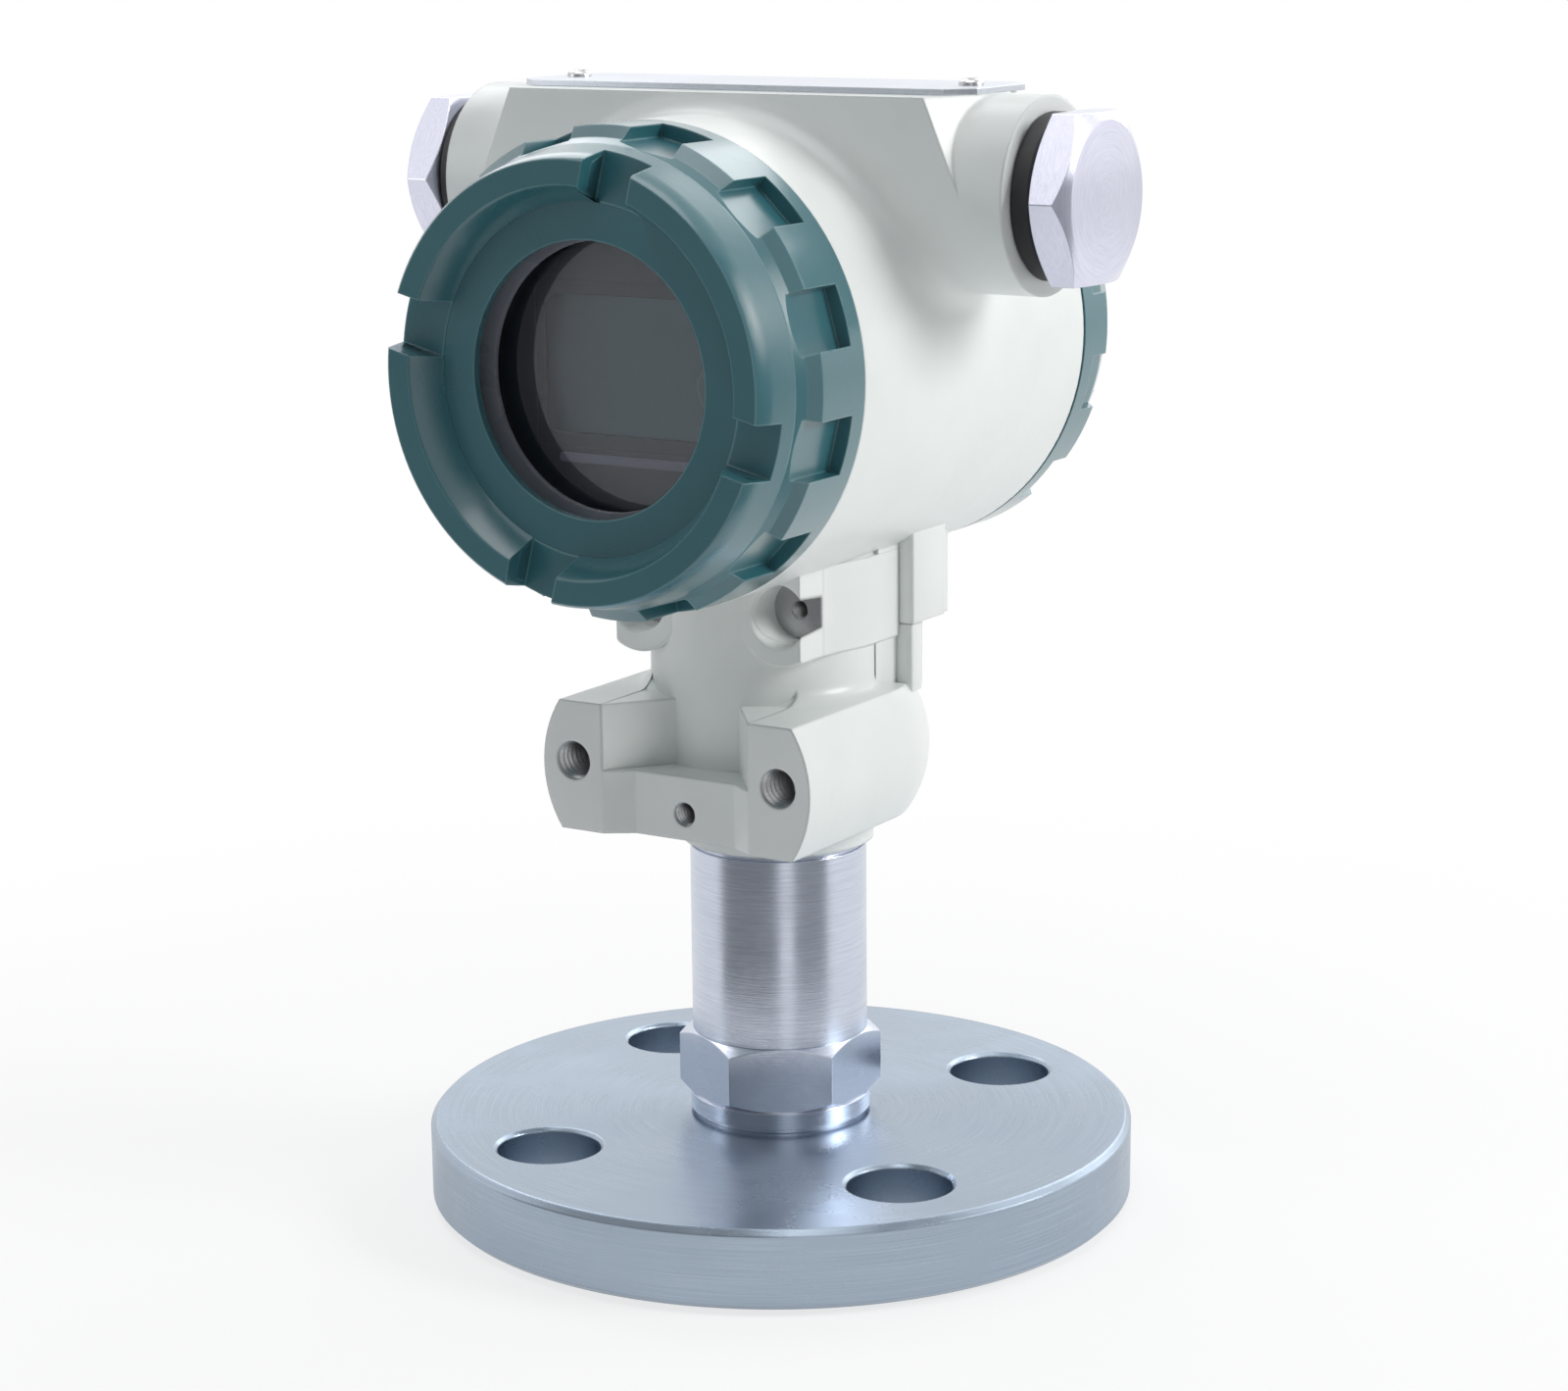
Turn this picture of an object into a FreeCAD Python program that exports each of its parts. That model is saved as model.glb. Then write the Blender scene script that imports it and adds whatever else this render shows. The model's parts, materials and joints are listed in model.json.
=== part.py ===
import FreeCAD, Part
import Sketcher
import math
import os

# A pressure transmitter with one flanged process connection: a flange and stem
# carry a two-chamber head, which turns on the stem and is closed by a screwed
# cover at each end. Millimetres. The origin is the centre of the flange's sealing
# face, +Z is up along the stem, and the display looks along -Y.

SIZES = {
    # flange
    "flange_radius": 62.5, "flange_rim": 14.0, "flange_edge": 1.0,
    "face_radius": 33.5, "face_height": 1.0,
    "bolt_circle_radius": 45.0, "bolt_hole_radius": 9.0, "bolt_count": 4, "bolt_turn": -31.8,
    "socket_radius": 13.0, "seat_radius": 24.0, "seat_depth": 1.6,
    # process diaphragm
    "diaphragm_sheet": 0.4, "diaphragm_wave": 0.3, "diaphragm_waves": 4, "diaphragm_inset": 0.3,
    # hexagon connector
    "collar_radius": 16.0, "collar_height": 3.9, "collar_groove": 0.9, "hex_flats": 31.0,
    "hex_height": 11.6, "hex_turn": 32.0, "hex_bevel": 1.6, "fill_bore_radius": 1.5, "connector_spigot": 8.0,
    # stem
    "stem_radius": 15.5, "stem_wall": 2.5, "stem_exposed": 35.0, "stem_groove": 0.6,
    "swivel_radius": 13.0, "swivel_length": 18.0, "swivel_wall": 2.2, "swivel_bevel": 0.8,
    "stem_seal_section": 1.2, "stem_seal_height": 14.6,
    "lock_groove_depth": 1.1, "lock_groove_width": 5.0,
    # pressure cell
    "cell_length": 11.0, "cell_shoulder": 4.0, "cell_seal_section": 0.9,
    "cell_pin_radius": 0.5, "cell_pin_circle": 5.0, "cell_pin_length": 4.0, "cell_pins": 4,
    "cell_ring_height": 3.5, "cell_ring_bore": 8.0, "tube_radius": 1.2,
    # clearances
    "fit": 0.05, "gap": 0.3,
    # lug block of the casting
    "lug_height": 22.5, "lug_half_width": 23.1, "lug_side_radius": 19.8, "lug_front": 32.7,
    "skirt_height": 5.5, "skirt_radius": 16.8, "skirt_flare": 2.6,
    "lobe_inner": 14.6, "plate_inner": 9.9, "plate_set_back": 3.0, "plate_height": 11.0,
    "recess_back": 13.7, "lug_hole_x": 20.45, "lug_hole_drop": 10.4, "lug_hole_radius": 3.4,
    "lug_hole_depth": 15.0, "lock_hole_rise": 4.5, "lock_hole_radius": 2.1, "lock_screw_length": 6.0, "lock_key": 2.0,
    # neck, rear rib and earth blocks
    "neck_radius": 20.0, "neck_forward": 3.25,
    "rib_half_width": 20.5, "rib_back": 24.0, "rib_foot": 32.2,
    "lower_rib_half_width": 20.0, "lower_rib_back": 16.0, "lower_rib_foot": 21.0,
    "earth_x": 14.0, "earth_rise": 38.4, "earth_radius": 8.6, "earth_flat": 18.0,
    "earth_front": 17.6, "earth_rear": 7.0, "earth_recess": 5.0, "earth_recess_depth": 2.8,
    "earth_hole_radius": 1.65, "earth_hole_depth": 8.0,
    # barrel
    "barrel_radius": 39.5, "barrel_front": 36.2, "barrel_rear": 38.1, "barrel_rise": 80.6,
    "thread_radius": 34.0, "chamber_step": 1.0, "thread_length": 14.0,
    "septum_front": 17.0, "septum_rear": 12.5,
    # conduit bridge
    "bridge_sink": 12.7, "bridge_forward": 3.0, "boss_radius": 16.0, "boss_end": 54.0,
    "block_top_half": 40.0, "block_point": 6.0, "block_lean": 6.8,
    "conduit_radius": 10.0, "conduit_depth": 28.0, "passage_radius": 7.0, "passage_depth": 42.0,
    # lead passage from the stem to the front chamber
    "lead_bore_radius": 4.0, "lead_bore_tilt": 30.3, "lead_bore_length": 42.0,
    "lead_radius": 1.6, "lead_bend": 16.0,
    # casting fillets
    "neck_fillet": 3.0, "bridge_fillet": 4.0,
    # covers
    "cover_height": 22.3, "rear_cover_height": 18.0, "cover_band": 12.6,
    "rear_cover_band": 8.3, "cover_shoulder": 1.7, "shoulder_inset": 1.9,
    "ring_inset": 4.9, "ring_width": 4.6, "dish_wall": 1.5, "dish_depth": 3.1,
    "pocket_count": 12, "pocket_cut": 2.5, "pocket_width": 9.8, "pocket_start": 3.6,
    "notch_count": 4, "notch_width": 9.2, "cover_turn": 14.0,
    "spigot_length": 12.0, "spigot_wall": 5.0, "cap_thickness": 4.0,
    "cover_seal_section": 1.0, "rear_joint": 0.8,
    # window
    "glass_room": 2.0, "glass_ledge": 4.9, "window_lip": 1.4, "window_flare": 2.4,
    "glass_front": 13.3, "glass_thickness": 4.0, "gasket_thickness": 1.0, "gasket_proud": 0.5,
    "snap_ring_thickness": 1.2, "snap_ring_width": 2.6, "snap_ring_bite": 1.2, "snap_ring_open": 9.0,
    # display and electronics
    "bezel_room": 2.0, "bezel_front": 7.0, "bezel_depth": 13.0, "bezel_edge": 1.5,
    "panel_width": 34.0, "panel_height": 26.2, "panel_thickness": 1.6, "panel_recess": 0.7,
    "panel_rise": 1.0, "board_room": 1.4, "board_thickness": 1.6,
    "post_count": 3, "post_radius": 2.2, "post_inset": 3.0, "post_screw_head": 1.6, "post_screw": 1.2,
    "module_room": 1.4, "module_height": 8.0, "module_lift": 2.0,
    "feed_radius": 4.0, "feed_drop": 14.0, "feed_proud": 1.5, "feed_pin": 0.6, "feed_pin_circle": 2.2, "feed_pins": 3,
    # terminal side
    "block_room": 10.0, "block_height": 26.0, "block_depth": 15.0, "block_drop": 6.0,
    "block_step": 5.0, "barrier_width": 2.0, "terminal_count": 3,
    "terminal_head": 3.6, "terminal_shank": 1.9, "terminal_length": 9.0, "terminal_rise": 2.6, "slot_half": 0.5, "clamp_side": 9.0,
    "clamp_thickness": 1.2, "earth_boss_radius": 6.0, "earth_boss_height": 4.0,
    "earth_boss_x": 19.0, "earth_boss_rise": 15.0,
    # conduit plugs
    "plug_flats": 27.0, "plug_head": 9.0, "plug_bevel": 1.4, "plug_shank": 13.0,
    "washer_room": 0.4, "washer_band": 3.0, "washer_thickness": 1.6,
    # nameplate
    "plate_end": 2.0, "plate_side": 4.0, "plate_sheet": 1.0, "plate_corner": 4.0,
    "plate_shift": 2.5, "plate_screw_inset": 5.5, "plate_screw_shank": 1.3, "plate_screw_length": 4.0,
    "plate_screw_head": 2.6, "plate_screw_rise": 1.7,
}


class Size:
    # A number together with the expression that stands for it in the document.
    def __init__(self, value, text):
        self.value = value
        self.text = text

    def joined(self, other, sign, value):
        right = other.text if isinstance(other, Size) else repr(other)
        return Size(value, f"({self.text} {sign} {right})")

    def __add__(self, other):
        return self.joined(other, "+", self.value + number(other))

    def __sub__(self, other):
        return self.joined(other, "-", self.value - number(other))

    def __mul__(self, other):
        return self.joined(other, "*", self.value * number(other))

    def __truediv__(self, other):
        return self.joined(other, "/", self.value / number(other))

    def __neg__(self):
        return self * -1

    __radd__ = __add__
    __rmul__ = __mul__


def number(size):
    return size.value if isinstance(size, Size) else size


class Sheet:
    # The spreadsheet of driving sizes, read by name.
    def __init__(self, doc, sizes):
        self.cells = doc.addObject("Spreadsheet::Sheet", "Sizes")
        for row, (name, value) in enumerate(sizes.items(), 1):
            self.cells.set(f"A{row}", name)
            self.cells.set(f"B{row}", str(value))
            self.cells.setAlias(f"B{row}", name)
        doc.recompute()

    def __getattr__(self, name):
        return Size(float(self.cells.get(name)), "Sizes." + name)


os.makedirs("parts", exist_ok=True)
doc = FreeCAD.newDocument("PressureTransmitter")
s = Sheet(doc, SIZES)
nodes = []

# Heights up the stem.
flange_top = s.face_height + s.flange_rim
hex_foot = flange_top + s.collar_height
hex_top = hex_foot + s.hex_height
swivel_seat = hex_top + s.stem_exposed
lug_foot = swivel_seat + s.skirt_height
lug_top = lug_foot + s.lug_height
axis_z = lug_foot + s.barrel_rise
bridge_z = axis_z + s.barrel_radius - s.bridge_sink
bridge_top = bridge_z + s.boss_radius
plate_top_z = lug_foot + s.plate_height
lock_z = lug_foot + s.lock_hole_rise
rear_face = s.barrel_rear + s.rear_joint
cell_top = swivel_seat - s.cell_shoulder
cell_foot = cell_top - s.cell_length

# Radii of what stands inside the barrel and the covers, outside inwards.
chamber_radius = s.thread_radius - s.chamber_step
spigot_bore = s.thread_radius - s.spigot_wall
glass_radius = spigot_bore - s.glass_room
window_radius = glass_radius - s.glass_ledge
board_radius = spigot_bore - s.board_room
post_circle = board_radius - s.post_inset
module_radius = post_circle - s.post_radius - s.module_room

# The nameplate keeps inside the top of the block between the conduit bosses.
plate_y = s.plate_shift - s.bridge_forward
plate_half = s.block_top_half + s.block_point - s.plate_end
plate_screw_x = plate_half - s.plate_screw_inset

# The way that each turned piece's own Z axis points on the object.
X, Y, Z = FreeCAD.Vector(1, 0, 0), FreeCAD.Vector(0, 1, 0), FreeCAD.Vector(0, 0, 1)
TURNS = {
    "up": FreeCAD.Rotation(),
    "front": FreeCAD.Rotation(X, 90),
    "rear": FreeCAD.Rotation(X, -90),
    "right": FreeCAD.Rotation(Y, 90),
    "left": FreeCAD.Rotation(Y, -90),
}


def bind(thing, path, size):
    if isinstance(size, Size):
        thing.setExpression(path, size.text)
    else:
        target = thing
        *owners, last = path.split(".")
        for owner in owners:
            target = getattr(target, owner)
        if not owners:
            setattr(target, last, size)
        elif size:
            thing.setExpression(path, repr(size))


def piece(label, facing="up", at=(0, 0, 0), turn=0.0, node=True):
    body = doc.addObject("PartDesign::Body", label)
    body.Label = label
    spin = FreeCAD.Rotation(Z, number(turn))
    body.Placement = FreeCAD.Placement(FreeCAD.Vector(*map(number, at)), TURNS[facing] * spin)
    for axis, place in zip("xyz", at):
        bind(body, f"Placement.Base.{axis}", place)
    if node:
        nodes.append(body)
    return body


def plane_of(body, role):
    return next(f for f in body.Origin.OriginFeatures if f.Role == role + "_Plane")


def outline(body, plane, loops, lift=0, tilt=0.0):
    sketch = body.newObject("Sketcher::SketchObject", body.Label + "_sketch")
    sketch.AttachmentSupport = (plane_of(body, plane), "")
    sketch.MapMode = "FlatFace"
    if tilt:
        sketch.AttachmentOffset = FreeCAD.Placement(
            FreeCAD.Vector(0, 0, number(lift)), FreeCAD.Rotation(X, number(tilt)))
    bind(sketch, "AttachmentOffset.Base.z", lift)
    for loop in loops:
        if loop[0] == "circle":
            add_circle(sketch, *loop[1:])
        else:
            add_loop(sketch, loop)
    return sketch


def hold_point(sketch, geometry, end, x, y):
    for kind, place in (("DistanceX", x), ("DistanceY", y)):
        index = sketch.addConstraint(Sketcher.Constraint(kind, -1, 1, geometry, end, number(place)))
        if isinstance(place, Size):
            sketch.setExpression(f"Constraints[{index}]", place.text)


def hold_radius(sketch, geometry, radius):
    index = sketch.addConstraint(Sketcher.Constraint("Radius", geometry, number(radius)))
    if isinstance(radius, Size):
        sketch.setExpression(f"Constraints[{index}]", radius.text)


def add_circle(sketch, x, y, radius):
    centre = FreeCAD.Vector(number(x), number(y), 0)
    index = sketch.addGeometry(Part.Circle(centre, Z, number(radius)), False)
    hold_point(sketch, index, 3, x, y)
    hold_radius(sketch, index, radius)


def arc_between(start, end, radius, side):
    # The short arc from start to end that bulges to its right (side 1) or left (-1).
    chord = end - start
    half = chord.Length / 2
    across = FreeCAD.Vector(chord.y, -chord.x, 0).normalize() * side
    sagitta = radius - math.sqrt(radius ** 2 - half ** 2)
    return Part.Arc(start, (start + end) / 2 + across * sagitta, end)


def add_loop(sketch, loop):
    # Points are (x, y), or (x, y, radius, side) where an arc leads on to the next point.
    spots = [FreeCAD.Vector(number(p[0]), number(p[1]), 0) for p in loop]
    ends = []
    for i, point in enumerate(loop):
        start, end = spots[i], spots[(i + 1) % len(loop)]
        if len(point) == 4:
            curve = arc_between(start, end, number(point[2]), point[3])
            index = sketch.addGeometry(curve, False)
            forward = sketch.Geometry[index].StartPoint.distanceToPoint(start) < 1e-6
            hold_radius(sketch, index, point[2])
            ends.append((index, (1, 2) if forward else (2, 1)))
        else:
            ends.append((sketch.addGeometry(Part.LineSegment(start, end), False), (1, 2)))
    for i, point in enumerate(loop):
        before, this = ends[i - 1], ends[i]
        sketch.addConstraint(Sketcher.Constraint("Coincident", before[0], before[1][1], this[0], this[1][0]))
        hold_point(sketch, this[0], this[1][0], point[0], point[1])


def rectangle(x0, x1, y0, y1):
    return [(x0, y0), (x1, y0), (x1, y1), (x0, y1)]


def hexagon(flats, x=0, y=0):
    corner, side = flats / math.sqrt(3), flats / 2
    half = corner / 2
    return [(corner + x, y), (half + x, side + y), (-half + x, side + y),
            (-corner + x, y), (-half + x, -side + y), (half + x, -side + y)]


def feature(body, kind, sketch, **values):
    before = body.Shape.Volume if body.Tip else 0.0
    made = body.newObject("PartDesign::" + kind, f"{body.Label}_{kind}")
    made.Profile = sketch
    for name, value in values.items():
        bind(made, name, value)
    sketch.Visibility = False
    doc.recompute()
    grows = kind in ("Pad", "Revolution")
    if (body.Shape.Volume - before) * (1 if grows else -1) < 1e-3:
        raise RuntimeError(f"{made.Name} changes nothing on {body.Label}")
    return made


def revolve(body, loop, groove=False):
    sketch = outline(body, "XZ", [loop])
    return feature(body, "Groove" if groove else "Revolution", sketch,
                   ReferenceAxis=(sketch, ["V_Axis"]), Angle=360)


def pad(body, plane, loops, start, length):
    return feature(body, "Pad", outline(body, plane, loops, start), Length=length)


def pocket(body, plane, loops, start, length, towards=False, tilt=0.0):
    # Cuts against the plane's normal, or along it where towards is set.
    sketch = outline(body, plane, loops, start, tilt)
    return feature(body, "Pocket", sketch, Length=length, Reversed=towards)


def around(body, made, count, axis="Z"):
    pattern = body.newObject("PartDesign::PolarPattern", body.Label + "_pattern")
    pattern.Originals = made if isinstance(made, list) else [made]
    pattern.Axis = (next(f for f in body.Origin.OriginFeatures if f.Role == axis + "_Axis"), [""])
    pattern.Angle = 360
    bind(pattern, "Occurrences", count)
    body.Tip = pattern
    doc.recompute()


def turned(label, loop, facing="up", at=(0, 0, 0), turn=0.0):
    body = piece(label, facing, at, turn)
    revolve(body, loop)
    return body


def round_edges(body, radius, wanted):
    # Fillets the edges of the body's tip that wanted() picks.
    base = body.Tip
    names = [f"Edge{i}" for i, edge in enumerate(base.Shape.Edges, 1) if wanted(edge)]
    made = body.newObject("PartDesign::Fillet", body.Label + "_fillet")
    made.Base = (base, names)
    bind(made, "Radius", radius)
    doc.recompute()
    return made


def ring_loop(inner, outer, low, high):
    return [(inner, low), (outer, low), (outer, high), (inner, high)]


def groove_floor(bore, section):
    # Radius of the bottom of a groove whose ring seals against a bore.
    return bore - section * 2 - s.fit * 2


def o_ring(label, bore, section, height, facing="up", at=(0, 0, 0)):
    body = piece(label, facing, at)
    sketch = outline(body, "XZ", [("circle", bore - section - s.fit, height, section)])
    feature(body, "Revolution", sketch, ReferenceAxis=(sketch, ["V_Axis"]), Angle=360)
    return body



def is_circle(edge, radius):
    return isinstance(edge.Curve, Part.Circle) and abs(edge.Curve.Radius - number(radius)) < 1e-3


def bevel_edges(body, size, wanted):
    base = body.Tip
    names = [f"Edge{i}" for i, edge in enumerate(base.Shape.Edges, 1) if wanted(edge)]
    made = body.newObject("PartDesign::Chamfer", body.Label + "_chamfer")
    made.Base = (base, names)
    bind(made, "Size", size)
    doc.recompute()


def make_flange():
    edge = s.flange_edge
    body = turned("flange", [
        (s.seat_radius, 0), (s.face_radius, 0), (s.face_radius, s.face_height),
        (s.flange_radius - edge, s.face_height), (s.flange_radius, s.face_height + edge),
        (s.flange_radius, flange_top - edge), (s.flange_radius - edge, flange_top),
        (s.socket_radius, flange_top), (s.socket_radius, s.seat_depth),
        (s.seat_radius, s.seat_depth)], turn=s.bolt_turn)
    hole = [("circle", s.bolt_circle_radius, 0, s.bolt_hole_radius)]
    around(body, pocket(body, "XY", hole, flange_top, flange_top), s.bolt_count)
    bevel_edges(body, edge * 0.6, lambda found: is_circle(found, s.bolt_hole_radius))


def make_diaphragm():
    # A thin sheet with concentric waves, flat at its middle and at its welded rim.
    inner, outer = s.seat_radius / 4, s.seat_radius - 3
    folds = 2 * SIZES["diaphragm_waves"]
    low = s.diaphragm_inset + s.diaphragm_wave
    radii = [0.0] + [inner + (outer - inner) * (i / folds) for i in range(folds + 1)] + [s.seat_radius]
    swings = [0, 0] + [(-1) ** i for i in range(1, folds)] + [0, 0]
    under = [(r, low + s.diaphragm_wave * swing) for r, swing in zip(radii, swings)]
    over = [(r, z + s.diaphragm_sheet) for r, z in under]
    turned("process_diaphragm", under + over[::-1])


def make_connector():
    # Spigot in the flange, round collar, hexagon, and the spigot that the stem sits on.
    spigot, upper = s.socket_radius - s.fit, s.stem_radius - s.stem_wall - s.fit
    neck = s.collar_radius - s.collar_groove
    body = turned("hex_connector", [
        (s.fill_bore_radius, s.seat_depth + s.gap), (spigot, s.seat_depth + s.gap),
        (spigot, flange_top), (neck, flange_top), (neck, flange_top + s.collar_groove),
        (s.collar_radius, flange_top + s.collar_groove), (s.collar_radius, hex_foot),
        (upper, hex_foot), (upper, hex_top + s.connector_spigot),
        (s.fill_bore_radius, hex_top + s.connector_spigot)], turn=s.hex_turn)
    ring = [hexagon(s.hex_flats), ("circle", 0, 0, upper - 1)]
    pad(body, "XY", ring, hex_foot, s.hex_height)
    corner, flat = s.hex_flats / math.sqrt(3), s.hex_flats / 2
    for end, way in ((hex_foot, 1), (hex_top, -1)):
        outside = corner + s.hex_bevel
        revolve(body, [(flat, end), (outside, end), (outside, end + s.hex_bevel * way * 1.6)], groove=True)


def make_stem():
    outer, bore = s.stem_radius, s.stem_radius - s.stem_wall
    neck, top = s.swivel_radius - s.fit, swivel_seat + s.swivel_length
    seal_z, seal = swivel_seat + s.stem_seal_height, s.stem_seal_section
    seal_floor = groove_floor(s.swivel_radius, seal)
    lock, half = neck - s.lock_groove_depth, s.lock_groove_width / 2
    inner = seal_floor - s.swivel_wall
    waist, groove = outer - s.stem_groove, s.stem_groove
    turned("sensor_stem", [
        (bore, hex_top), (outer, hex_top), (outer, swivel_seat - 2 * groove),
        (waist, swivel_seat - 2 * groove), (waist, swivel_seat - groove),
        (outer, swivel_seat - groove), (outer, swivel_seat), (neck, swivel_seat),
        (neck, lock_z - half), (lock, lock_z - half), (lock, lock_z + half), (neck, lock_z + half),
        (neck, seal_z - seal * 1.2), (seal_floor, seal_z - seal * 1.2),
        (seal_floor, seal_z + seal * 1.2), (neck, seal_z + seal * 1.2),
        (neck, top - s.swivel_bevel), (neck - s.swivel_bevel, top), (inner, top),
        (inner, cell_top), (bore, cell_top)])
    o_ring("stem_seal", s.swivel_radius, seal, seal_z)


def make_cell():
    # The sealed pressure cell, held up against the stem's inner step by a screwed ring.
    radius = s.stem_radius - s.stem_wall - s.fit
    seal, seal_z = s.cell_seal_section, cell_foot + s.cell_length / 2
    floor = groove_floor(radius + s.fit, seal)
    tube_hole = s.tube_radius + s.fit
    body = turned("pressure_cell", [
        (tube_hole, cell_foot), (radius, cell_foot), (radius, seal_z - seal * 1.2),
        (floor, seal_z - seal * 1.2), (floor, seal_z + seal * 1.2), (radius, seal_z + seal * 1.2),
        (radius, cell_top), (0, cell_top), (0, cell_foot + s.cell_length / 3),
        (tube_hole, cell_foot + s.cell_length / 3)])
    pin = pad(body, "XY", [("circle", s.cell_pin_circle, 0, s.cell_pin_radius)], cell_top, s.cell_pin_length)
    around(body, pin, s.cell_pins)
    o_ring("cell_seal", radius + s.fit, seal, seal_z)
    ring = turned("cell_retaining_ring", ring_loop(
        s.cell_ring_bore, radius, cell_foot - s.cell_ring_height, cell_foot))
    slot = rectangle(-radius - 1, radius + 1, -s.cell_ring_height / 3, s.cell_ring_height / 3)
    pocket(ring, "XY", [slot], cell_foot - s.cell_ring_height, s.cell_ring_height / 2, towards=True)
    foot = hex_top + s.connector_spigot / 2
    tube = [(0, foot), (s.tube_radius, foot), (s.tube_radius, cell_foot + s.cell_length / 3 - s.gap),
            (0, cell_foot + s.cell_length / 3 - s.gap)]
    turned("capillary_tube", tube)


def lug_side(half_width, low, high, radius):
    # Front outline of the lug block, with its bulged sides.
    return [(-half_width, low), (half_width, low, radius, 1), (half_width, high),
            (-half_width, high, radius, 1)]


def make_casting():
    body = piece("housing_casting")
    # Lug block: a bulged drum that runs forward as two flat-faced lobes.
    revolve(body, [(0, swivel_seat), (s.skirt_radius, swivel_seat),
                   (s.skirt_radius, lug_foot - s.skirt_flare), (s.skirt_radius + s.skirt_flare, lug_foot),
                   (s.lug_half_width, lug_foot, s.lug_side_radius, 1), (s.lug_half_width, lug_top),
                   (0, lug_top)])
    front = lug_side(s.lug_half_width, lug_foot, lug_top, s.lug_side_radius)
    pad(body, "XZ", [front], 0, s.lug_front)
    recess = rectangle(-s.lobe_inner, s.lobe_inner, plate_top_z, lug_top + 1)
    pocket(body, "XZ", [recess], s.lug_front + 1, s.lug_front + 1 - s.recess_back)
    plate = s.lug_front - s.plate_set_back
    wide = s.lobe_inner + (s.lobe_inner - s.plate_inner) / s.plate_set_back
    face = [(-wide, -s.lug_front - 1), (wide, -s.lug_front - 1), (s.plate_inner, -plate), (-s.plate_inner, -plate)]
    pocket(body, "XY", [face], lug_top, s.lug_height + 1)
    # Neck, its stepped rib behind, and the earth blocks at its sides.
    pad(body, "XY", [("circle", 0, -s.neck_forward, s.neck_radius)], plate_top_z - 1, axis_z - plate_top_z)
    rib_foot, lower_foot = lug_foot + s.rib_foot, lug_foot + s.lower_rib_foot
    pad(body, "XY", [rectangle(-s.rib_half_width, s.rib_half_width, 0, s.rib_back)],
        rib_foot, axis_z - rib_foot)
    pad(body, "XY", [rectangle(-s.lower_rib_half_width, s.lower_rib_half_width, 0, s.lower_rib_back)],
        lower_foot, rib_foot + 1 - lower_foot)
    earth_z = lug_foot + s.earth_rise
    drop = math.sqrt(SIZES["earth_radius"] ** 2 - (SIZES["earth_flat"] - SIZES["earth_x"]) ** 2)
    drop = s.earth_radius * (drop / SIZES["earth_radius"])
    for side in (1, -1):
        inner, flat = s.earth_x * side, s.earth_flat * side
        edge = [(flat, earth_z + drop), (inner, earth_z + s.earth_radius),
                (0, earth_z + s.earth_radius), (0, earth_z - s.earth_radius),
                (inner, earth_z - s.earth_radius), (flat, earth_z - drop)]
        pad(body, "XZ", [edge], -s.earth_rear, s.earth_front + s.earth_rear)
    # Barrel, conduit bosses, and the square-topped block between them.
    pad(body, "XZ", [("circle", 0, axis_z, s.barrel_radius)], -s.barrel_rear, s.barrel_rear + s.barrel_front)
    pad(body, "YZ", [("circle", -s.bridge_forward, bridge_z, s.boss_radius)], -s.boss_end, s.boss_end * 2)
    add_block(body)
    soften(body)
    # Chambers, with a thread relief at each mouth and a web left between them.
    front, rear = s.barrel_front, s.barrel_rear
    for radius, depth in ((chamber_radius, front - s.septum_front), (s.thread_radius, s.thread_length)):
        pocket(body, "XZ", [("circle", 0, axis_z, radius)], front, depth)
    for radius, depth in ((chamber_radius, rear + s.septum_rear), (s.thread_radius, s.thread_length)):
        pocket(body, "XZ", [("circle", 0, axis_z, radius)], -rear, depth, towards=True)
    pad(body, "XZ", [("circle", s.earth_boss_x, axis_z + s.earth_boss_rise, s.earth_boss_radius)],
        s.septum_rear - s.earth_boss_height, s.earth_boss_height + 1)
    # Conduit entries, screwed at the mouth and narrower where they reach the rear chamber.
    for side, towards in ((1, False), (-1, True)):
        for radius, depth in ((s.conduit_radius, s.conduit_depth), (s.passage_radius, s.passage_depth)):
            pocket(body, "YZ", [("circle", -s.bridge_forward, bridge_z, radius)],
                   s.boss_end * side, depth, towards)
    # Stem bore, and the slanted way for the leads from it to the front chamber.
    pocket(body, "XY", [("circle", 0, 0, s.swivel_radius)], swivel_seat, s.swivel_length + s.fit * 10, True)
    pocket(body, "XY", [("circle", 0, 0, s.lead_bore_radius)], swivel_seat + s.swivel_length,
           s.lead_bore_length, True, s.lead_bore_tilt)
    pocket(body, "XZ", [("circle", 0, axis_z - s.feed_drop, s.feed_radius + s.fit)], s.septum_front,
           s.septum_front - s.septum_rear)
    add_small_holes(body, plate, earth_z)
    return body


def add_block(body):
    # Each end is two leaning faces that meet in a point over the boss.
    sections = []
    for lift, lean in ((bridge_z, s.block_lean), (bridge_top, 0)):
        side, point = s.block_top_half + lean, s.block_top_half + s.block_point + lean
        near, far = -s.bridge_forward - s.boss_radius, s.boss_radius - s.bridge_forward
        sections.append(outline(body, "XY", [[
            (side, near), (point, -s.bridge_forward), (side, far),
            (-side, far), (-point, -s.bridge_forward), (-side, near)]], lift))
    made = body.newObject("PartDesign::AdditiveLoft", "bridge_block")
    made.Profile = sections[0]
    made.Sections = sections[1:]
    made.Ruled = True
    doc.recompute()


def along(edge, test, count=5):
    # True where test() holds at points spread along the edge.
    first, last = edge.FirstParameter, edge.LastParameter
    spots = (edge.valueAt(first + (last - first) * i / (count - 1)) for i in range(count))
    return all(test(spot) for spot in spots)


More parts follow.
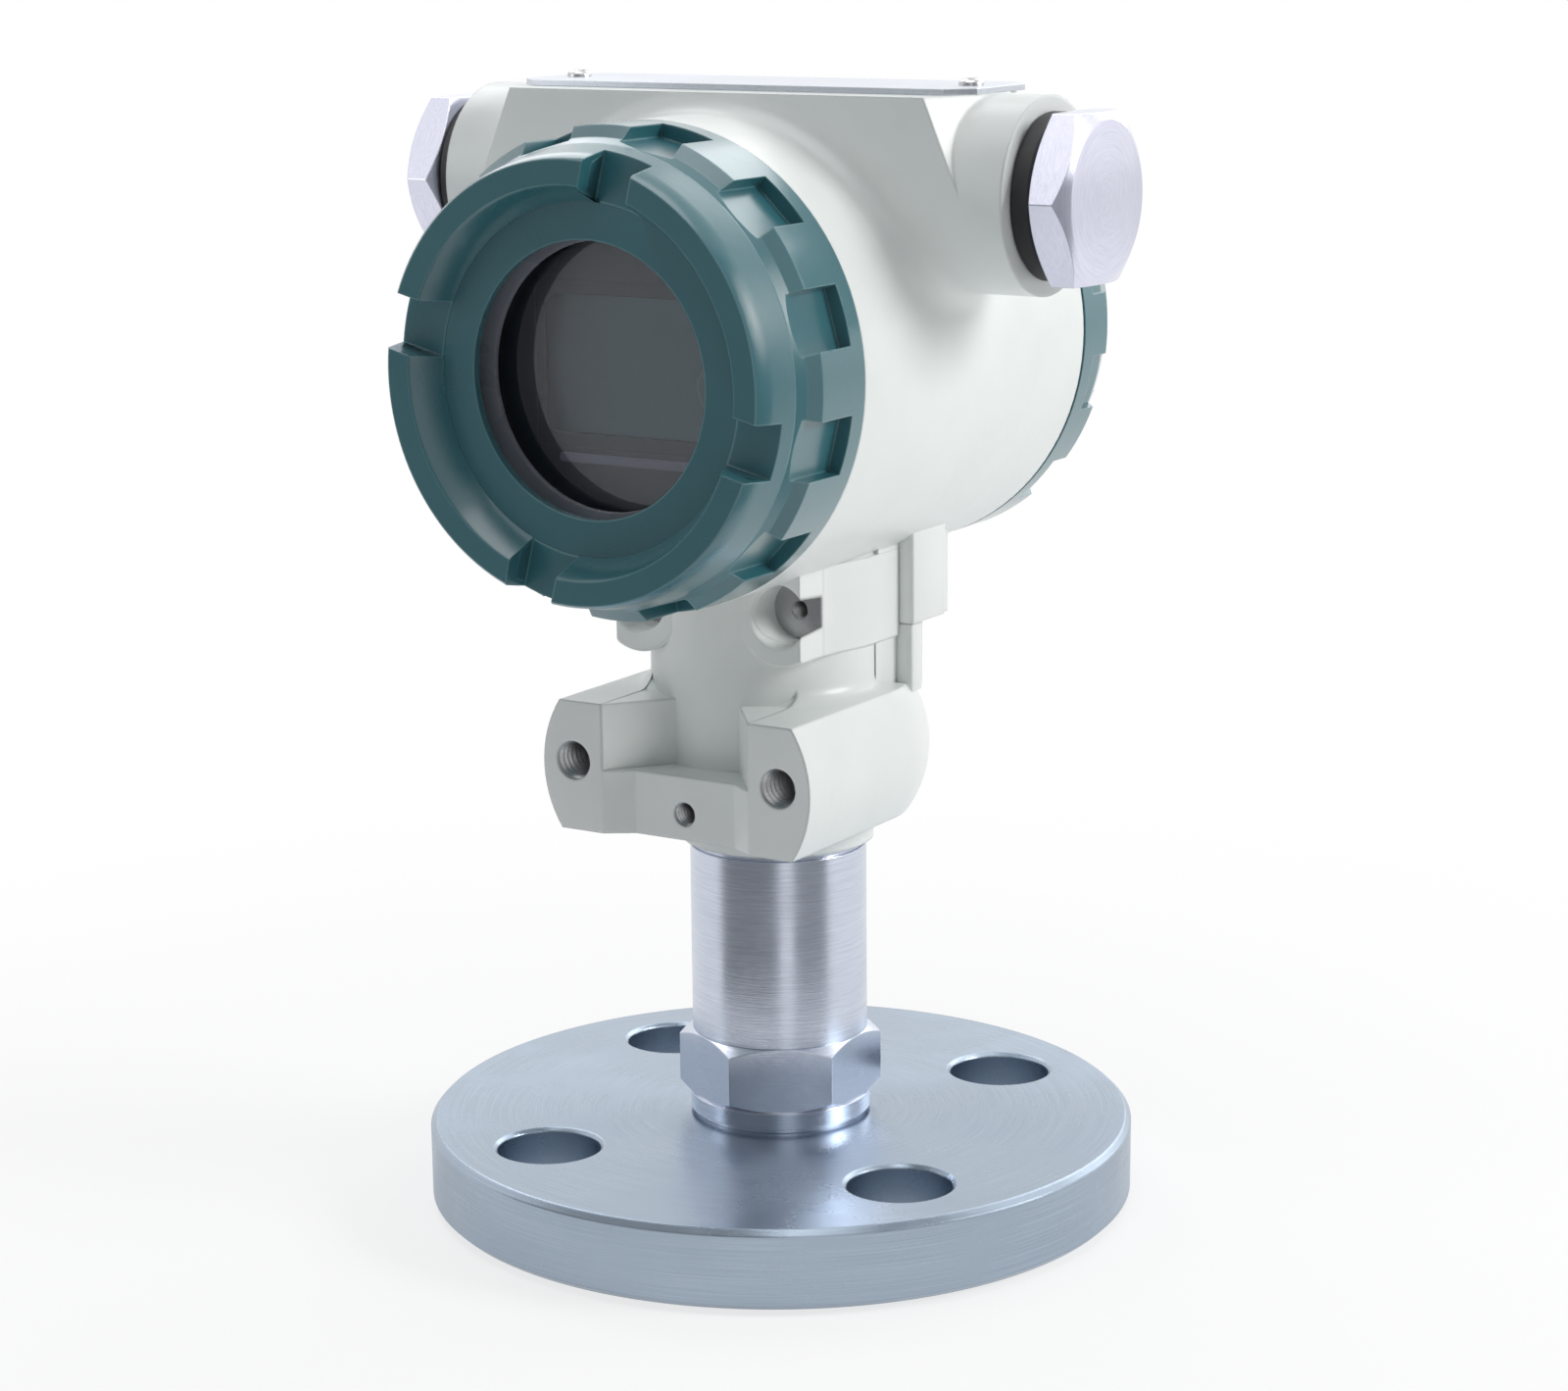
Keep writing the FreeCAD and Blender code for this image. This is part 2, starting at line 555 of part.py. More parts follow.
def soften(body):
    # Casting radii: under the bridge, and where the neck leaves the lug block.
    radius, middle, front = number(s.barrel_radius), number(axis_z), -number(s.barrel_front)

    def on_barrel(spot):
        return (abs(math.hypot(spot.x, spot.z - middle) - radius) < 1e-3
                and spot.z > middle and front + 1 < spot.y < number(s.barrel_rear) - 1)

    def on_neck(spot):
        away = math.hypot(spot.x, spot.y + number(s.neck_forward)) - number(s.neck_radius)
        return abs(away) < 1e-3 and abs(spot.z - number(lug_top)) < 1e-3

    round_edges(body, s.bridge_fillet, lambda edge: along(edge, on_barrel) and not is_seam(edge))
    round_edges(body, s.neck_fillet, lambda edge: along(edge, on_neck))


def is_seam(edge):
    return isinstance(edge.Curve, Part.Line) and abs(edge.Curve.Direction.y) > 0.99


def add_small_holes(body, plate, earth_z):
    # Bracket holes, lock screw hole, earth terminals and nameplate screw holes.
    ahead = s.neck_radius + s.neck_forward
    for side in (1, -1):
        pocket(body, "XZ", [("circle", s.lug_hole_x * side, lug_top - s.lug_hole_drop, s.lug_hole_radius)],
               s.lug_front, s.lug_hole_depth)
        x = s.earth_x * side
        pocket(body, "XZ", [("circle", x, earth_z, s.earth_recess)], ahead,
               ahead - s.earth_front + s.earth_recess_depth)
        pocket(body, "XZ", [("circle", x, earth_z, s.earth_hole_radius)], s.earth_front, s.earth_hole_depth)
        pocket(body, "XY", [("circle", plate_screw_x * side, plate_y, s.plate_screw_shank)],
               bridge_top, s.plate_screw_length)
    pocket(body, "XZ", [("circle", 0, lock_z, s.lock_hole_radius)], plate, plate - s.swivel_radius + 1)
    pocket(body, "XZ", [("circle", s.earth_boss_x, axis_z + s.earth_boss_rise, s.terminal_shank)],
           s.septum_rear - s.earth_boss_height, s.earth_boss_height + 2, towards=True)


def cover_shell(body, height, band, inside):
    # Outside: band, shoulder, flank, front ring and dish. The rest is closed by inside.
    spigot = s.thread_radius - s.fit
    seal = s.cover_seal_section
    floor = groove_floor(s.thread_radius, seal)
    dish, outer, ring = height - s.dish_depth, s.barrel_radius, s.barrel_radius - s.ring_inset
    ring_inner = ring - s.ring_width
    revolve(body, inside[:1] + [
        (spigot, -s.spigot_length), (spigot, -seal * 2.6), (floor, -seal * 2.6),
        (floor, -seal * 0.2), (spigot, -seal * 0.2), (spigot, 0), (outer, 0),
        (outer, band), (outer - s.shoulder_inset, band + s.cover_shoulder),
        (ring, height), (ring_inner, height), (ring_inner - s.dish_wall, dish)] + inside[1:])
    half = s.pocket_width / 2
    flat = rectangle(-half, half, outer - s.pocket_cut, outer + 2)
    around(body, pocket(body, "XY", [flat], s.pocket_start, height, True), s.pocket_count)
    half = s.notch_width / 2
    slot = rectangle(-half, half, window_radius + 2, outer)
    around(body, pocket(body, "XY", [slot], dish, s.dish_depth + 1, True), s.notch_count)


def make_front_cover():
    at = (0, -s.barrel_front, axis_z)
    height, glass_back = s.cover_height, s.glass_front - s.glass_thickness
    seat, lip = s.glass_front + s.gasket_thickness, s.cover_height - s.dish_depth
    glass, inner = glass_radius + s.fit, spigot_bore
    ring_top, ring_foot = glass_back, glass_back - s.snap_ring_thickness
    groove = glass + s.snap_ring_bite
    body = piece("front_cover", "front", at, -s.cover_turn)
    cover_shell(body, height, s.cover_band, [
        (inner, -s.spigot_length), (window_radius, lip), (window_radius, lip - s.window_lip),
        (window_radius + s.window_flare, seat), (glass, seat), (glass, ring_top), (groove, ring_top),
        (groove, ring_foot), (glass, ring_foot), (glass, ring_foot - 1), (inner, ring_foot - 2)])
    turned("window_gasket", ring_loop(window_radius - s.gasket_proud, glass_radius, s.glass_front, seat), "front", at)
    edge = 0.4
    turned("window_glass", [
        (0, glass_back), (glass_radius - edge, glass_back), (glass_radius, glass_back + edge),
        (glass_radius, s.glass_front - edge), (glass_radius - edge, s.glass_front),
        (0, s.glass_front)], "front", at)
    ring = turned("window_snap_ring", ring_loop(
        groove - s.fit - s.snap_ring_width - s.snap_ring_bite, groove - s.fit, ring_foot, ring_top), "front", at)
    gap = rectangle(-s.snap_ring_open / 2, s.snap_ring_open / 2, -glass_radius - 4, 0)
    pocket(ring, "XY", [gap], ring_foot, s.snap_ring_thickness, True)
    o_ring("front_cover_seal", s.thread_radius, s.cover_seal_section, -s.cover_seal_section * 1.4, "front", at)


def make_rear_cover():
    at = (0, rear_face, axis_z)
    height, inner = s.rear_cover_height, spigot_bore
    under = height - s.dish_depth - s.cap_thickness
    body = piece("rear_cover", "rear", at, s.cover_turn)
    cover_shell(body, height, s.rear_cover_band, [
        (inner, -s.spigot_length), (0, height - s.dish_depth), (0, under), (inner - 3, under),
        (inner, under - 3)])
    o_ring("rear_cover_seal", s.thread_radius, s.cover_seal_section, -s.cover_seal_section * 1.4, "rear", at)


def make_display():
    # Everything here is measured outwards from the barrel's front face.
    at = (0, -s.barrel_front, axis_z)
    front, back, radius = s.bezel_front, s.bezel_front - s.bezel_depth, spigot_bore - s.bezel_room
    bezel = turned("display_bezel", [
        (0, back), (radius, back), (radius, front - s.bezel_edge),
        (radius - s.bezel_edge, front), (0, front)], "front", at)
    half_w, half_h, rise = s.panel_width / 2 + s.gap, s.panel_height / 2 + s.gap, s.panel_rise
    window = rectangle(-half_w, half_w, rise - half_h, rise + half_h)
    depth = s.panel_recess + s.panel_thickness
    pocket(bezel, "XY", [window], front, depth)
    panel = piece("display_panel", "front", at)
    half_w, half_h = s.panel_width / 2, s.panel_height / 2
    pad(panel, "XY", [rectangle(-half_w, half_w, rise - half_h, rise + half_h)], front - depth, s.panel_thickness)
    board = piece("display_board", "front", at)
    under = back - s.board_thickness
    pad(board, "XY", [("circle", 0, 0, board_radius)], under, s.board_thickness)
    hole = pocket(board, "XY", [("circle", 0, post_circle, s.post_screw + s.fit)], back, s.board_thickness)
    around(board, hole, s.post_count)
    floor = s.septum_front - s.barrel_front
    posts = piece("display_posts", "front", at)
    shaft = pad(posts, "XY", [("circle", 0, post_circle, s.post_radius)], floor, under - floor)
    around(posts, shaft, s.post_count)
    screws = piece("display_screws", "front", at)
    spot = ("circle", 0, post_circle)
    shank = pad(screws, "XY", [spot + (s.post_screw,)], under, s.board_thickness)
    head = pad(screws, "XY", [spot + (s.post_radius,)], back, s.post_screw_head)
    around(screws, [shank, head], s.post_count)
    relief = pocket(bezel, "XY", [("circle", 0, post_circle, s.post_radius + s.gap)], back,
                    s.post_screw_head + s.gap, True)
    around(bezel, relief, s.post_count)
    module = piece("electronics_module", "front", at)
    foot = floor + s.module_lift
    pad(module, "XY", [("circle", 0, 0, module_radius)], foot, s.module_height)
    bevel_edges(module, 1.0, lambda edge: is_circle(edge, module_radius)
                and abs(edge.BoundBox.ZMin - number(foot)) > 1)



def make_feedthrough():
    # Sealed pins that carry the signal through the web between the chambers.
    at = (0, -s.septum_front, axis_z - s.feed_drop)
    web = s.septum_front - s.septum_rear
    body = turned("feedthrough", [
        (0, -web), (s.feed_radius, -web), (s.feed_radius, s.feed_proud * 0.5), (0, s.feed_proud * 0.5)],
        "front", at)
    pin = pad(body, "XY", [("circle", s.feed_pin_circle, 0, s.feed_pin)], 0, s.feed_proud)
    around(body, pin, s.feed_pins)


def rounded_path(corners, bend):
    # Straight runs through the corners, joined by tangent arcs.
    edges, start = [], corners[0]
    for before, corner, after in zip(corners, corners[1:], corners[2:]):
        back, ahead = (before - corner).normalize(), (after - corner).normalize()
        half = (math.pi - back.getAngle(ahead)) / 2
        reach = bend * math.tan(half)
        middle = corner + (back + ahead).normalize() * bend * (1 / math.cos(half) - 1)
        enter, leave = corner + back * reach, corner + ahead * reach
        edges += [Part.LineSegment(start, enter).toShape(), Part.Arc(enter, middle, leave).toShape()]
        start = leave
    edges.append(Part.LineSegment(start, corners[-1]).toShape())
    return Part.Wire(edges)


def make_lead():
    # The jacketed lead from the cell's pins up the slanted way to the module.
    tilt = math.radians(number(s.lead_bore_tilt))
    foot = number(cell_top + s.cell_pin_length + s.gap)
    bore = number(swivel_seat + s.swivel_length)
    forward = -number(s.septum_front + s.module_lift) - number(s.module_height) / 2
    corners = [FreeCAD.Vector(0, y, z) for y, z in (
        (0, foot), (0, bore), (forward, bore - forward / math.tan(tilt)),
        (forward, number(axis_z - module_radius)))]
    lead = doc.addObject("Part::Feature", "sensor_lead")
    lead.Label = "sensor_lead"
    round_end = Part.Wire(Part.Circle(corners[0], Z, number(s.lead_radius)).toShape())
    lead.Shape = rounded_path(corners, number(s.lead_bend)).makePipeShell([round_end], True, False)
    lead.Placement = FreeCAD.Placement()
    nodes.append(lead)


def make_terminals():
    # A moulded block on the web, with a screw and a clamp plate in each of its bays.
    at = (0, -s.septum_rear, axis_z - s.block_drop)
    half_w, half_h, step = chamber_radius - s.block_room, s.block_height / 2, s.block_step
    body = piece("terminal_block", "rear", at)
    pad(body, "XY", [rectangle(-half_w, half_w, -half_h, half_h)], s.gap, s.block_depth - s.gap)
    floor = s.block_depth - step
    bays = SIZES["terminal_count"]
    pitch = (half_w - s.barrier_width) * 2 / bays
    clear = pitch - s.barrier_width
    places = [pitch * (i - (bays - 1) / 2) for i in range(bays)]
    for x in places:
        bay = rectangle(x - clear / 2, x + clear / 2, -half_h + s.barrier_width, half_h + 1)
        pocket(body, "XY", [bay], s.block_depth, step)
        pocket(body, "XY", [("circle", x, 0, s.terminal_shank)], floor, s.terminal_length)
    clamps = piece("terminal_clamps", "rear", at)
    screws = piece("terminal_screws", "rear", at)
    side, sheet = s.clamp_side / 2, s.clamp_thickness
    for x in places:
        pad(clamps, "XY", [rectangle(x - side, x + side, -side, side),
                           ("circle", x, 0, s.terminal_shank + s.fit)], floor, sheet)
        pad(screws, "XY", [("circle", x, 0, s.terminal_shank - s.fit)], floor + sheet - s.terminal_length,
            s.terminal_length)
        pad(screws, "XY", [("circle", x, 0, s.terminal_head)], floor + sheet, s.terminal_rise)
        slot = rectangle(x - s.terminal_head - 1, x + s.terminal_head + 1, -s.slot_half, s.slot_half)
        pocket(screws, "XY", [slot], floor + sheet + s.terminal_rise, s.terminal_rise / 2)
    at = (s.earth_boss_x, s.earth_boss_height - s.septum_rear, axis_z + s.earth_boss_rise)
    shank, head = s.terminal_shank - s.fit, s.terminal_head
    earth = turned("chamber_earth_screw", [
        (0, -s.earth_boss_height), (shank, -s.earth_boss_height), (shank, 0), (head, 0),
        (head, s.terminal_rise), (0, s.terminal_rise)], "rear", at)
    slot = rectangle(-head - 1, head + 1, -s.slot_half, s.slot_half)
    pocket(earth, "XY", [slot], s.terminal_rise, s.terminal_rise / 2)


def make_plug(side):
    # Blanking plug and its washer, measured outwards from the boss.
    way, facing = (1, "right") if side == "right" else (-1, "left")
    at = (s.boss_end * way, -s.bridge_forward, bridge_z)
    flat, corner = s.plug_flats / 2, s.plug_flats / math.sqrt(3)
    foot, top = s.washer_thickness, s.washer_thickness + s.plug_head
    radius = s.conduit_radius - s.fit
    inner = s.conduit_radius + s.washer_room
    turned("plug_washer_" + side, ring_loop(inner, inner + s.washer_band, 0, foot), facing, at)
    body = turned("conduit_plug_" + side, [
        (0, foot - s.plug_shank), (radius - s.plug_bevel, foot - s.plug_shank),
        (radius, foot - s.plug_shank + s.plug_bevel), (radius, foot), (0, foot)], facing, at, 90)
    pad(body, "XY", [hexagon(s.plug_flats)], foot, s.plug_head)
    outside = corner + s.plug_bevel
    revolve(body, [(flat - s.plug_bevel * 0.4, top), (outside, top), (outside, top - s.plug_bevel * 1.6)],
            groove=True)


def make_nameplate():
    plate = piece("nameplate", "up", (0, plate_y, bridge_top))
    x, y, cut = plate_half, s.boss_radius - s.plate_side, s.plate_corner
    edge = [(x - cut, -y), (x, cut - y), (x, y - cut), (x - cut, y),
            (cut - x, y), (-x, y - cut), (-x, cut - y), (cut - x, -y)]
    holes = [("circle", plate_screw_x * side, 0, s.plate_screw_shank + s.fit) for side in (1, -1)]
    pad(plate, "XY", [edge] + holes, 0, s.plate_sheet)
    screws = piece("nameplate_screws", "up", (0, plate_y, bridge_top))
    for side in (1, -1):
        spot = ("circle", plate_screw_x * side, 0)
        pad(screws, "XY", [spot + (s.plate_screw_shank - s.fit,)], s.plate_sheet - s.plate_screw_length,
            s.plate_screw_length)
        pad(screws, "XY", [spot + (s.plate_screw_head,)], s.plate_sheet, s.plate_screw_rise)
    bevel_edges(screws, s.plate_screw_rise * 0.4, lambda edge: is_circle(edge, s.plate_screw_head)
                and edge.BoundBox.ZMin > number(s.plate_sheet) + 0.1)


def make_lock_screw():
    # Grub screw whose tip stands in the stem's groove and holds the head down.
    tip = s.swivel_radius - s.fit - s.lock_groove_depth + s.gap
    body = piece("head_lock_screw", "front", (0, -tip, lock_z))
    radius = s.lock_hole_radius - s.fit
    revolve(body, [(0, 0), (radius - 0.6, 0), (radius, 0.6), (radius, s.lock_screw_length - 0.3),
                   (radius - 0.3, s.lock_screw_length), (0, s.lock_screw_length)])
    pocket(body, "XY", [hexagon(s.lock_key)], s.lock_screw_length, s.lock_screw_length * 0.4)


make_flange()
make_diaphragm()
make_connector()
make_stem()
make_cell()
make_casting()
make_lock_screw()
make_front_cover()
make_rear_cover()
make_display()
make_lead()
make_feedthrough()
make_terminals()
for side in ("left", "right"):
    make_plug(side)
make_nameplate()
doc.recompute()

faults = [thing.Name for thing in doc.Objects if {"Invalid", "Error"} & set(thing.State)]
faults += [body.Label for body in nodes if body.Shape.isNull() or not body.Shape.isValid()]
if faults:
    raise RuntimeError("failed: " + ", ".join(faults))
for body in nodes:
    body.Shape.exportStep(f"parts/{body.Label}.step")
    print(f"{body.Label}: {len(body.Shape.Solids)} solid(s), {body.Shape.Volume / 1000:.2f} cm3")
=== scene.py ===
import json
import math

import bmesh
import bpy
from mathutils import Matrix, Vector

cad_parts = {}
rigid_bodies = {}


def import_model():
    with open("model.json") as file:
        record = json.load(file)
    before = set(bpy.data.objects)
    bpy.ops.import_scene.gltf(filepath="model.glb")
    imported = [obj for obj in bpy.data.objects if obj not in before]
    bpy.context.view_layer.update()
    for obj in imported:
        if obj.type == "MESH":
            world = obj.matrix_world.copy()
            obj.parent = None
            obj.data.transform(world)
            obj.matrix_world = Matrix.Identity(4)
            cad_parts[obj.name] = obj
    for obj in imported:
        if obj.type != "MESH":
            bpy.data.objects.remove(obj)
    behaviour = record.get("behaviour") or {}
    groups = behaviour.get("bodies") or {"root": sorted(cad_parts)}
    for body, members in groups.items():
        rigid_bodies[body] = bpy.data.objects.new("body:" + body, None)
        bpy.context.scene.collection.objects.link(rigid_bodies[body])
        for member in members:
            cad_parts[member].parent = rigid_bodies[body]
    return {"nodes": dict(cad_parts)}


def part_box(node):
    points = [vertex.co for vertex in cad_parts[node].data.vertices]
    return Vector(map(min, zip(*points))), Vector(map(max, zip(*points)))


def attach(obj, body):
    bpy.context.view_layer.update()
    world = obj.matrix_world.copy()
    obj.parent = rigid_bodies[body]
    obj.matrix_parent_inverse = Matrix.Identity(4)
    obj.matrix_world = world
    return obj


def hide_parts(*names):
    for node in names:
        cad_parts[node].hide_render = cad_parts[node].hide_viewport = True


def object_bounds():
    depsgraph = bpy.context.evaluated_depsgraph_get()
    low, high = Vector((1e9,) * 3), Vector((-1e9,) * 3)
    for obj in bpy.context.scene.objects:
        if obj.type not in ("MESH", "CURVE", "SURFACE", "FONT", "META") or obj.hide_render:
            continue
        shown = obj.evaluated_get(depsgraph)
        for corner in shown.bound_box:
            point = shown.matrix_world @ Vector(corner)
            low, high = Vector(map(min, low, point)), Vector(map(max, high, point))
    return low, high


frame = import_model()
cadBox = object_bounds()
nodes = frame["nodes"]
mm = 0.001


def addNode(tree, kind, **settings):
    node = tree.nodes.new(kind)
    for name, value in settings.items():
        setattr(node, name, value)
    return node


def link(tree, source, target):
    tree.links.new(source, target)


def maths(tree, operation, first, second=None, clamp=False):
    node = addNode(tree, "ShaderNodeMath", operation=operation, use_clamp=clamp)
    for socket, value in zip(node.inputs, (first, second)):
        if isinstance(value, bpy.types.NodeSocket):
            link(tree, value, socket)
        elif value is not None:
            socket.default_value = value
    return node.outputs[0]


def mixColour(tree, factor, first, second):
    node = addNode(tree, "ShaderNodeMix", data_type="RGBA")
    for socket, value in ((node.inputs[0], factor), (node.inputs[6], first), (node.inputs[7], second)):
        if isinstance(value, bpy.types.NodeSocket):
            link(tree, value, socket)
        else:
            socket.default_value = value
    return node.outputs[2]


def spread(tree, value, fromLow, fromHigh, toLow, toHigh, smooth=False):
    node = addNode(tree, "ShaderNodeMapRange", interpolation_type="SMOOTHSTEP" if smooth else "LINEAR")
    link(tree, value, node.inputs["Value"])
    ends = {"From Min": fromLow, "From Max": fromHigh, "To Min": toLow, "To Max": toHigh}
    for name, number in ends.items():
        node.inputs[name].default_value = number
    return node.outputs[0]


def noise(tree, vector, scale, detail, roughness):
    node = addNode(tree, "ShaderNodeTexNoise")
    link(tree, vector, node.inputs["Vector"])
    node.inputs["Scale"].default_value = scale
    node.inputs["Detail"].default_value = detail
    node.inputs["Roughness"].default_value = roughness
    return node.outputs["Fac"]


def newGroup(name, inputs, outputs):
    group = bpy.data.node_groups.new(name, "ShaderNodeTree")
    for side, sockets in (("INPUT", inputs), ("OUTPUT", outputs)):
        for label, kind in sockets.items():
            group.interface.new_socket(label, in_out=side, socket_type="NodeSocket" + kind)
    return group, group.nodes.new("NodeGroupInput"), group.nodes.new("NodeGroupOutput")


def placeGroup(tree, group, values, links):
    node = addNode(tree, "ShaderNodeGroup", node_tree=group)
    for name, value in values.items():
        node.inputs[name].default_value = value
    for name, source in links.items():
        link(tree, source, node.inputs[name])
    return node


# Rounds the shading of sharp edges and marks where they are. The reach is how far the rounded
# normal turns away before the mark is full.
edgeFinish = {"samples": 6, "reach": 0.12}


def makeEdgeGroup():
    group, start, end = newGroup("softEdge", {"Radius": "Float"}, {"Edge": "Float", "Normal": "Vector"})
    bevel = addNode(group, "ShaderNodeBevel", samples=edgeFinish["samples"])
    link(group, start.outputs["Radius"], bevel.inputs["Radius"])
    geometry = addNode(group, "ShaderNodeNewGeometry")
    dot = addNode(group, "ShaderNodeVectorMath", operation="DOT_PRODUCT")
    link(group, bevel.outputs["Normal"], dot.inputs[0])
    link(group, geometry.outputs["Normal"], dot.inputs[1])
    away = maths(group, "SUBTRACT", 1.0, dot.outputs["Value"])
    edge = maths(group, "DIVIDE", away, edgeFinish["reach"], clamp=True)
    link(group, edge, end.inputs["Edge"])
    link(group, bevel.outputs["Normal"], end.inputs["Normal"])
    return group


# Orange peel of a baked powder coat: fine dimples over a slow swell. A noise here and below is its
# scale per metre, its detail and its roughness.
peelFinish = {"fine": (1400, 2, 0.55), "slow": (420, 1, 0.5), "patch": (38, 3, 0.6),
              "fineShare": 0.6, "depth": 0.12 * mm}


def makePeelGroup():
    group, start, end = newGroup("orangePeel", {"Vector": "Vector", "Normal": "Vector", "Depth": "Float"},
                                 {"Normal": "Vector", "Patch": "Float"})
    vector = start.outputs["Vector"]
    fine = noise(group, vector, *peelFinish["fine"])
    slow = noise(group, vector, *peelFinish["slow"])
    height = maths(group, "ADD", maths(group, "MULTIPLY", fine, peelFinish["fineShare"]), slow)
    bump = addNode(group, "ShaderNodeBump")
    bump.inputs["Distance"].default_value = peelFinish["depth"]
    link(group, start.outputs["Depth"], bump.inputs["Strength"])
    link(group, height, bump.inputs["Height"])
    link(group, start.outputs["Normal"], bump.inputs["Normal"])
    link(group, bump.outputs["Normal"], end.inputs["Normal"])
    link(group, noise(group, vector, *peelFinish["patch"]), end.inputs["Patch"])
    return group


# Lathe marks: rings about the Z axis of the vector that comes in.
grainFinish = {"rings": (5200, 3, 0.7), "patch": (60, 4, 0.6), "drift": 0.0004, "depth": 0.04 * mm,
               "ringRange": (0.35, 0.65)}


def makeGrainGroup():
    group, start, end = newGroup("turnedGrain", {"Vector": "Vector", "Normal": "Vector", "Depth": "Float"},
                                 {"Normal": "Vector", "Rings": "Float", "Patch": "Float"})
    split = addNode(group, "ShaderNodeSeparateXYZ")
    vector = start.outputs["Vector"]
    link(group, vector, split.inputs[0])
    x, y, z = split.outputs
    squares = maths(group, "ADD", maths(group, "MULTIPLY", x, x), maths(group, "MULTIPLY", y, y))
    radius = maths(group, "SQRT", squares)
    angle = maths(group, "ARCTAN2", y, x)
    join = addNode(group, "ShaderNodeCombineXYZ")
    link(group, radius, join.inputs[0])
    link(group, maths(group, "MULTIPLY", angle, grainFinish["drift"]), join.inputs[1])
    link(group, z, join.inputs[2])
    rings = noise(group, join.outputs[0], *grainFinish["rings"])
    bump = addNode(group, "ShaderNodeBump")
    bump.inputs["Distance"].default_value = grainFinish["depth"]
    link(group, start.outputs["Depth"], bump.inputs["Strength"])
    link(group, rings, bump.inputs["Height"])
    link(group, start.outputs["Normal"], bump.inputs["Normal"])
    link(group, bump.outputs["Normal"], end.inputs["Normal"])
    link(group, rings, end.inputs["Rings"])
    link(group, noise(group, vector, *grainFinish["patch"]), end.inputs["Patch"])
    return group


softEdge, orangePeel, turnedGrain = makeEdgeGroup(), makePeelGroup(), makeGrainGroup()
print("shared finish effects are made")


def newMaterial(name):
    material = bpy.data.materials.new(name)
    material.use_nodes = True
    tree = material.node_tree
    shader = tree.nodes["Principled BSDF"]
    place = addNode(tree, "ShaderNodeTexCoord").outputs["Object"]
    return material, tree, shader, place


def setSockets(shader, **values):
    for name, value in values.items():
        shader.inputs[name.replace("_", " ")].default_value = value


# Roughness wanders with the patches of the finish, from a little under the look's value to over it.
patchRange = (0.3, 0.7)  # where most of a slow noise lies
wander = {"paint": (0.05, 0.07), "steel": (0.04, 0.08), "moulded": (0.05, 0.1)}


def linkRoughness(tree, patch, shader, roughness, kind):
    under, over = wander[kind]
    source = spread(tree, patch, *patchRange, roughness - under, roughness + over)
    link(tree, source, shader.inputs["Roughness"])


# The worn colour lightens the edges: partly real wear of the coat, partly a painted highlight along the
# rounded edges.
paintWhite = {"colour": (0.80, 0.83, 0.815, 1), "wornAndHighlightColour": (0.88, 0.905, 0.89, 1),
              "roughness": 0.36, "coat": 0.15, "coatRoughness": 0.2, "peel": 0.2,
              "edgeRadius": 0.8 * mm, "edgeShare": 0.3}
paintTeal = {"colour": (0.03, 0.14, 0.168, 1), "wornAndHighlightColour": (0.2, 0.43, 0.48, 1),
             "roughness": 0.3, "coat": 1.0, "coatRoughness": 0.2, "peel": 0.2,
             "edgeRadius": 0.5 * mm, "edgeShare": 0.5}
paintShade = (0.95, 1.02)


def makePaint(name, look):
    material, tree, shader, place = newMaterial(name)
    edge = placeGroup(tree, softEdge, {"Radius": look["edgeRadius"]}, {})
    peel = placeGroup(tree, orangePeel, {"Depth": look["peel"]},
                      {"Vector": place, "Normal": edge.outputs["Normal"]})
    # Lightens the edges toward the worn colour: edge wear together with a painted edge highlight.
    edgeWearAndHighlightShare = maths(tree, "MULTIPLY", edge.outputs["Edge"], look["edgeShare"])
    shade = spread(tree, peel.outputs["Patch"], *patchRange, *paintShade)
    tint = mixColour(tree, edgeWearAndHighlightShare, look["colour"], look["wornAndHighlightColour"])
    toned = addNode(tree, "ShaderNodeVectorMath", operation="SCALE")
    link(tree, tint, toned.inputs[0])
    link(tree, shade, toned.inputs["Scale"])
    link(tree, toned.outputs[0], shader.inputs["Base Color"])
    linkRoughness(tree, peel.outputs["Patch"], shader, look["roughness"], "paint")
    link(tree, peel.outputs["Normal"], shader.inputs["Normal"])
    setSockets(shader, Coat_Weight=look["coat"], Coat_Roughness=look["coatRoughness"], Coat_IOR=1.5)
    return material


# Faced flange, turned stem, nickel plugs and plated screws differ only in these values.
flangeLook = {"colour": (0.41, 0.48, 0.57, 1), "deep": (0.34, 0.41, 0.49, 1), "roughness": 0.26,
              "grain": 0.3, "edgeRadius": 0.5 * mm, "anisotropic": 0.6, "grainAxis": "Z"}
stemLook = dict(flangeLook, colour=(0.66, 0.70, 0.80, 1), deep=(0.56, 0.60, 0.69, 1),
                roughness=0.2, grain=0.22, edgeRadius=0.3 * mm)
plugLook = dict(flangeLook, colour=(0.78, 0.79, 0.92, 1), deep=(0.69, 0.70, 0.82, 1),
                roughness=0.2, grain=0.25, edgeRadius=0.3 * mm, anisotropic=0.4, grainAxis=None)
screwLook = dict(flangeLook, colour=(0.56, 0.56, 0.57, 1), deep=(0.45, 0.45, 0.46, 1),
                 roughness=0.3, grain=0.1, edgeRadius=0.15 * mm, anisotropic=0.0, grainAxis=None)
plateLook = dict(stemLook, colour=(0.66, 0.69, 0.74, 1), deep=(0.56, 0.59, 0.64, 1),
                 roughness=0.32, anisotropic=0.0, grainAxis=None)
brassLook = dict(screwLook, colour=(0.7, 0.52, 0.25, 1), deep=(0.6, 0.43, 0.2, 1))


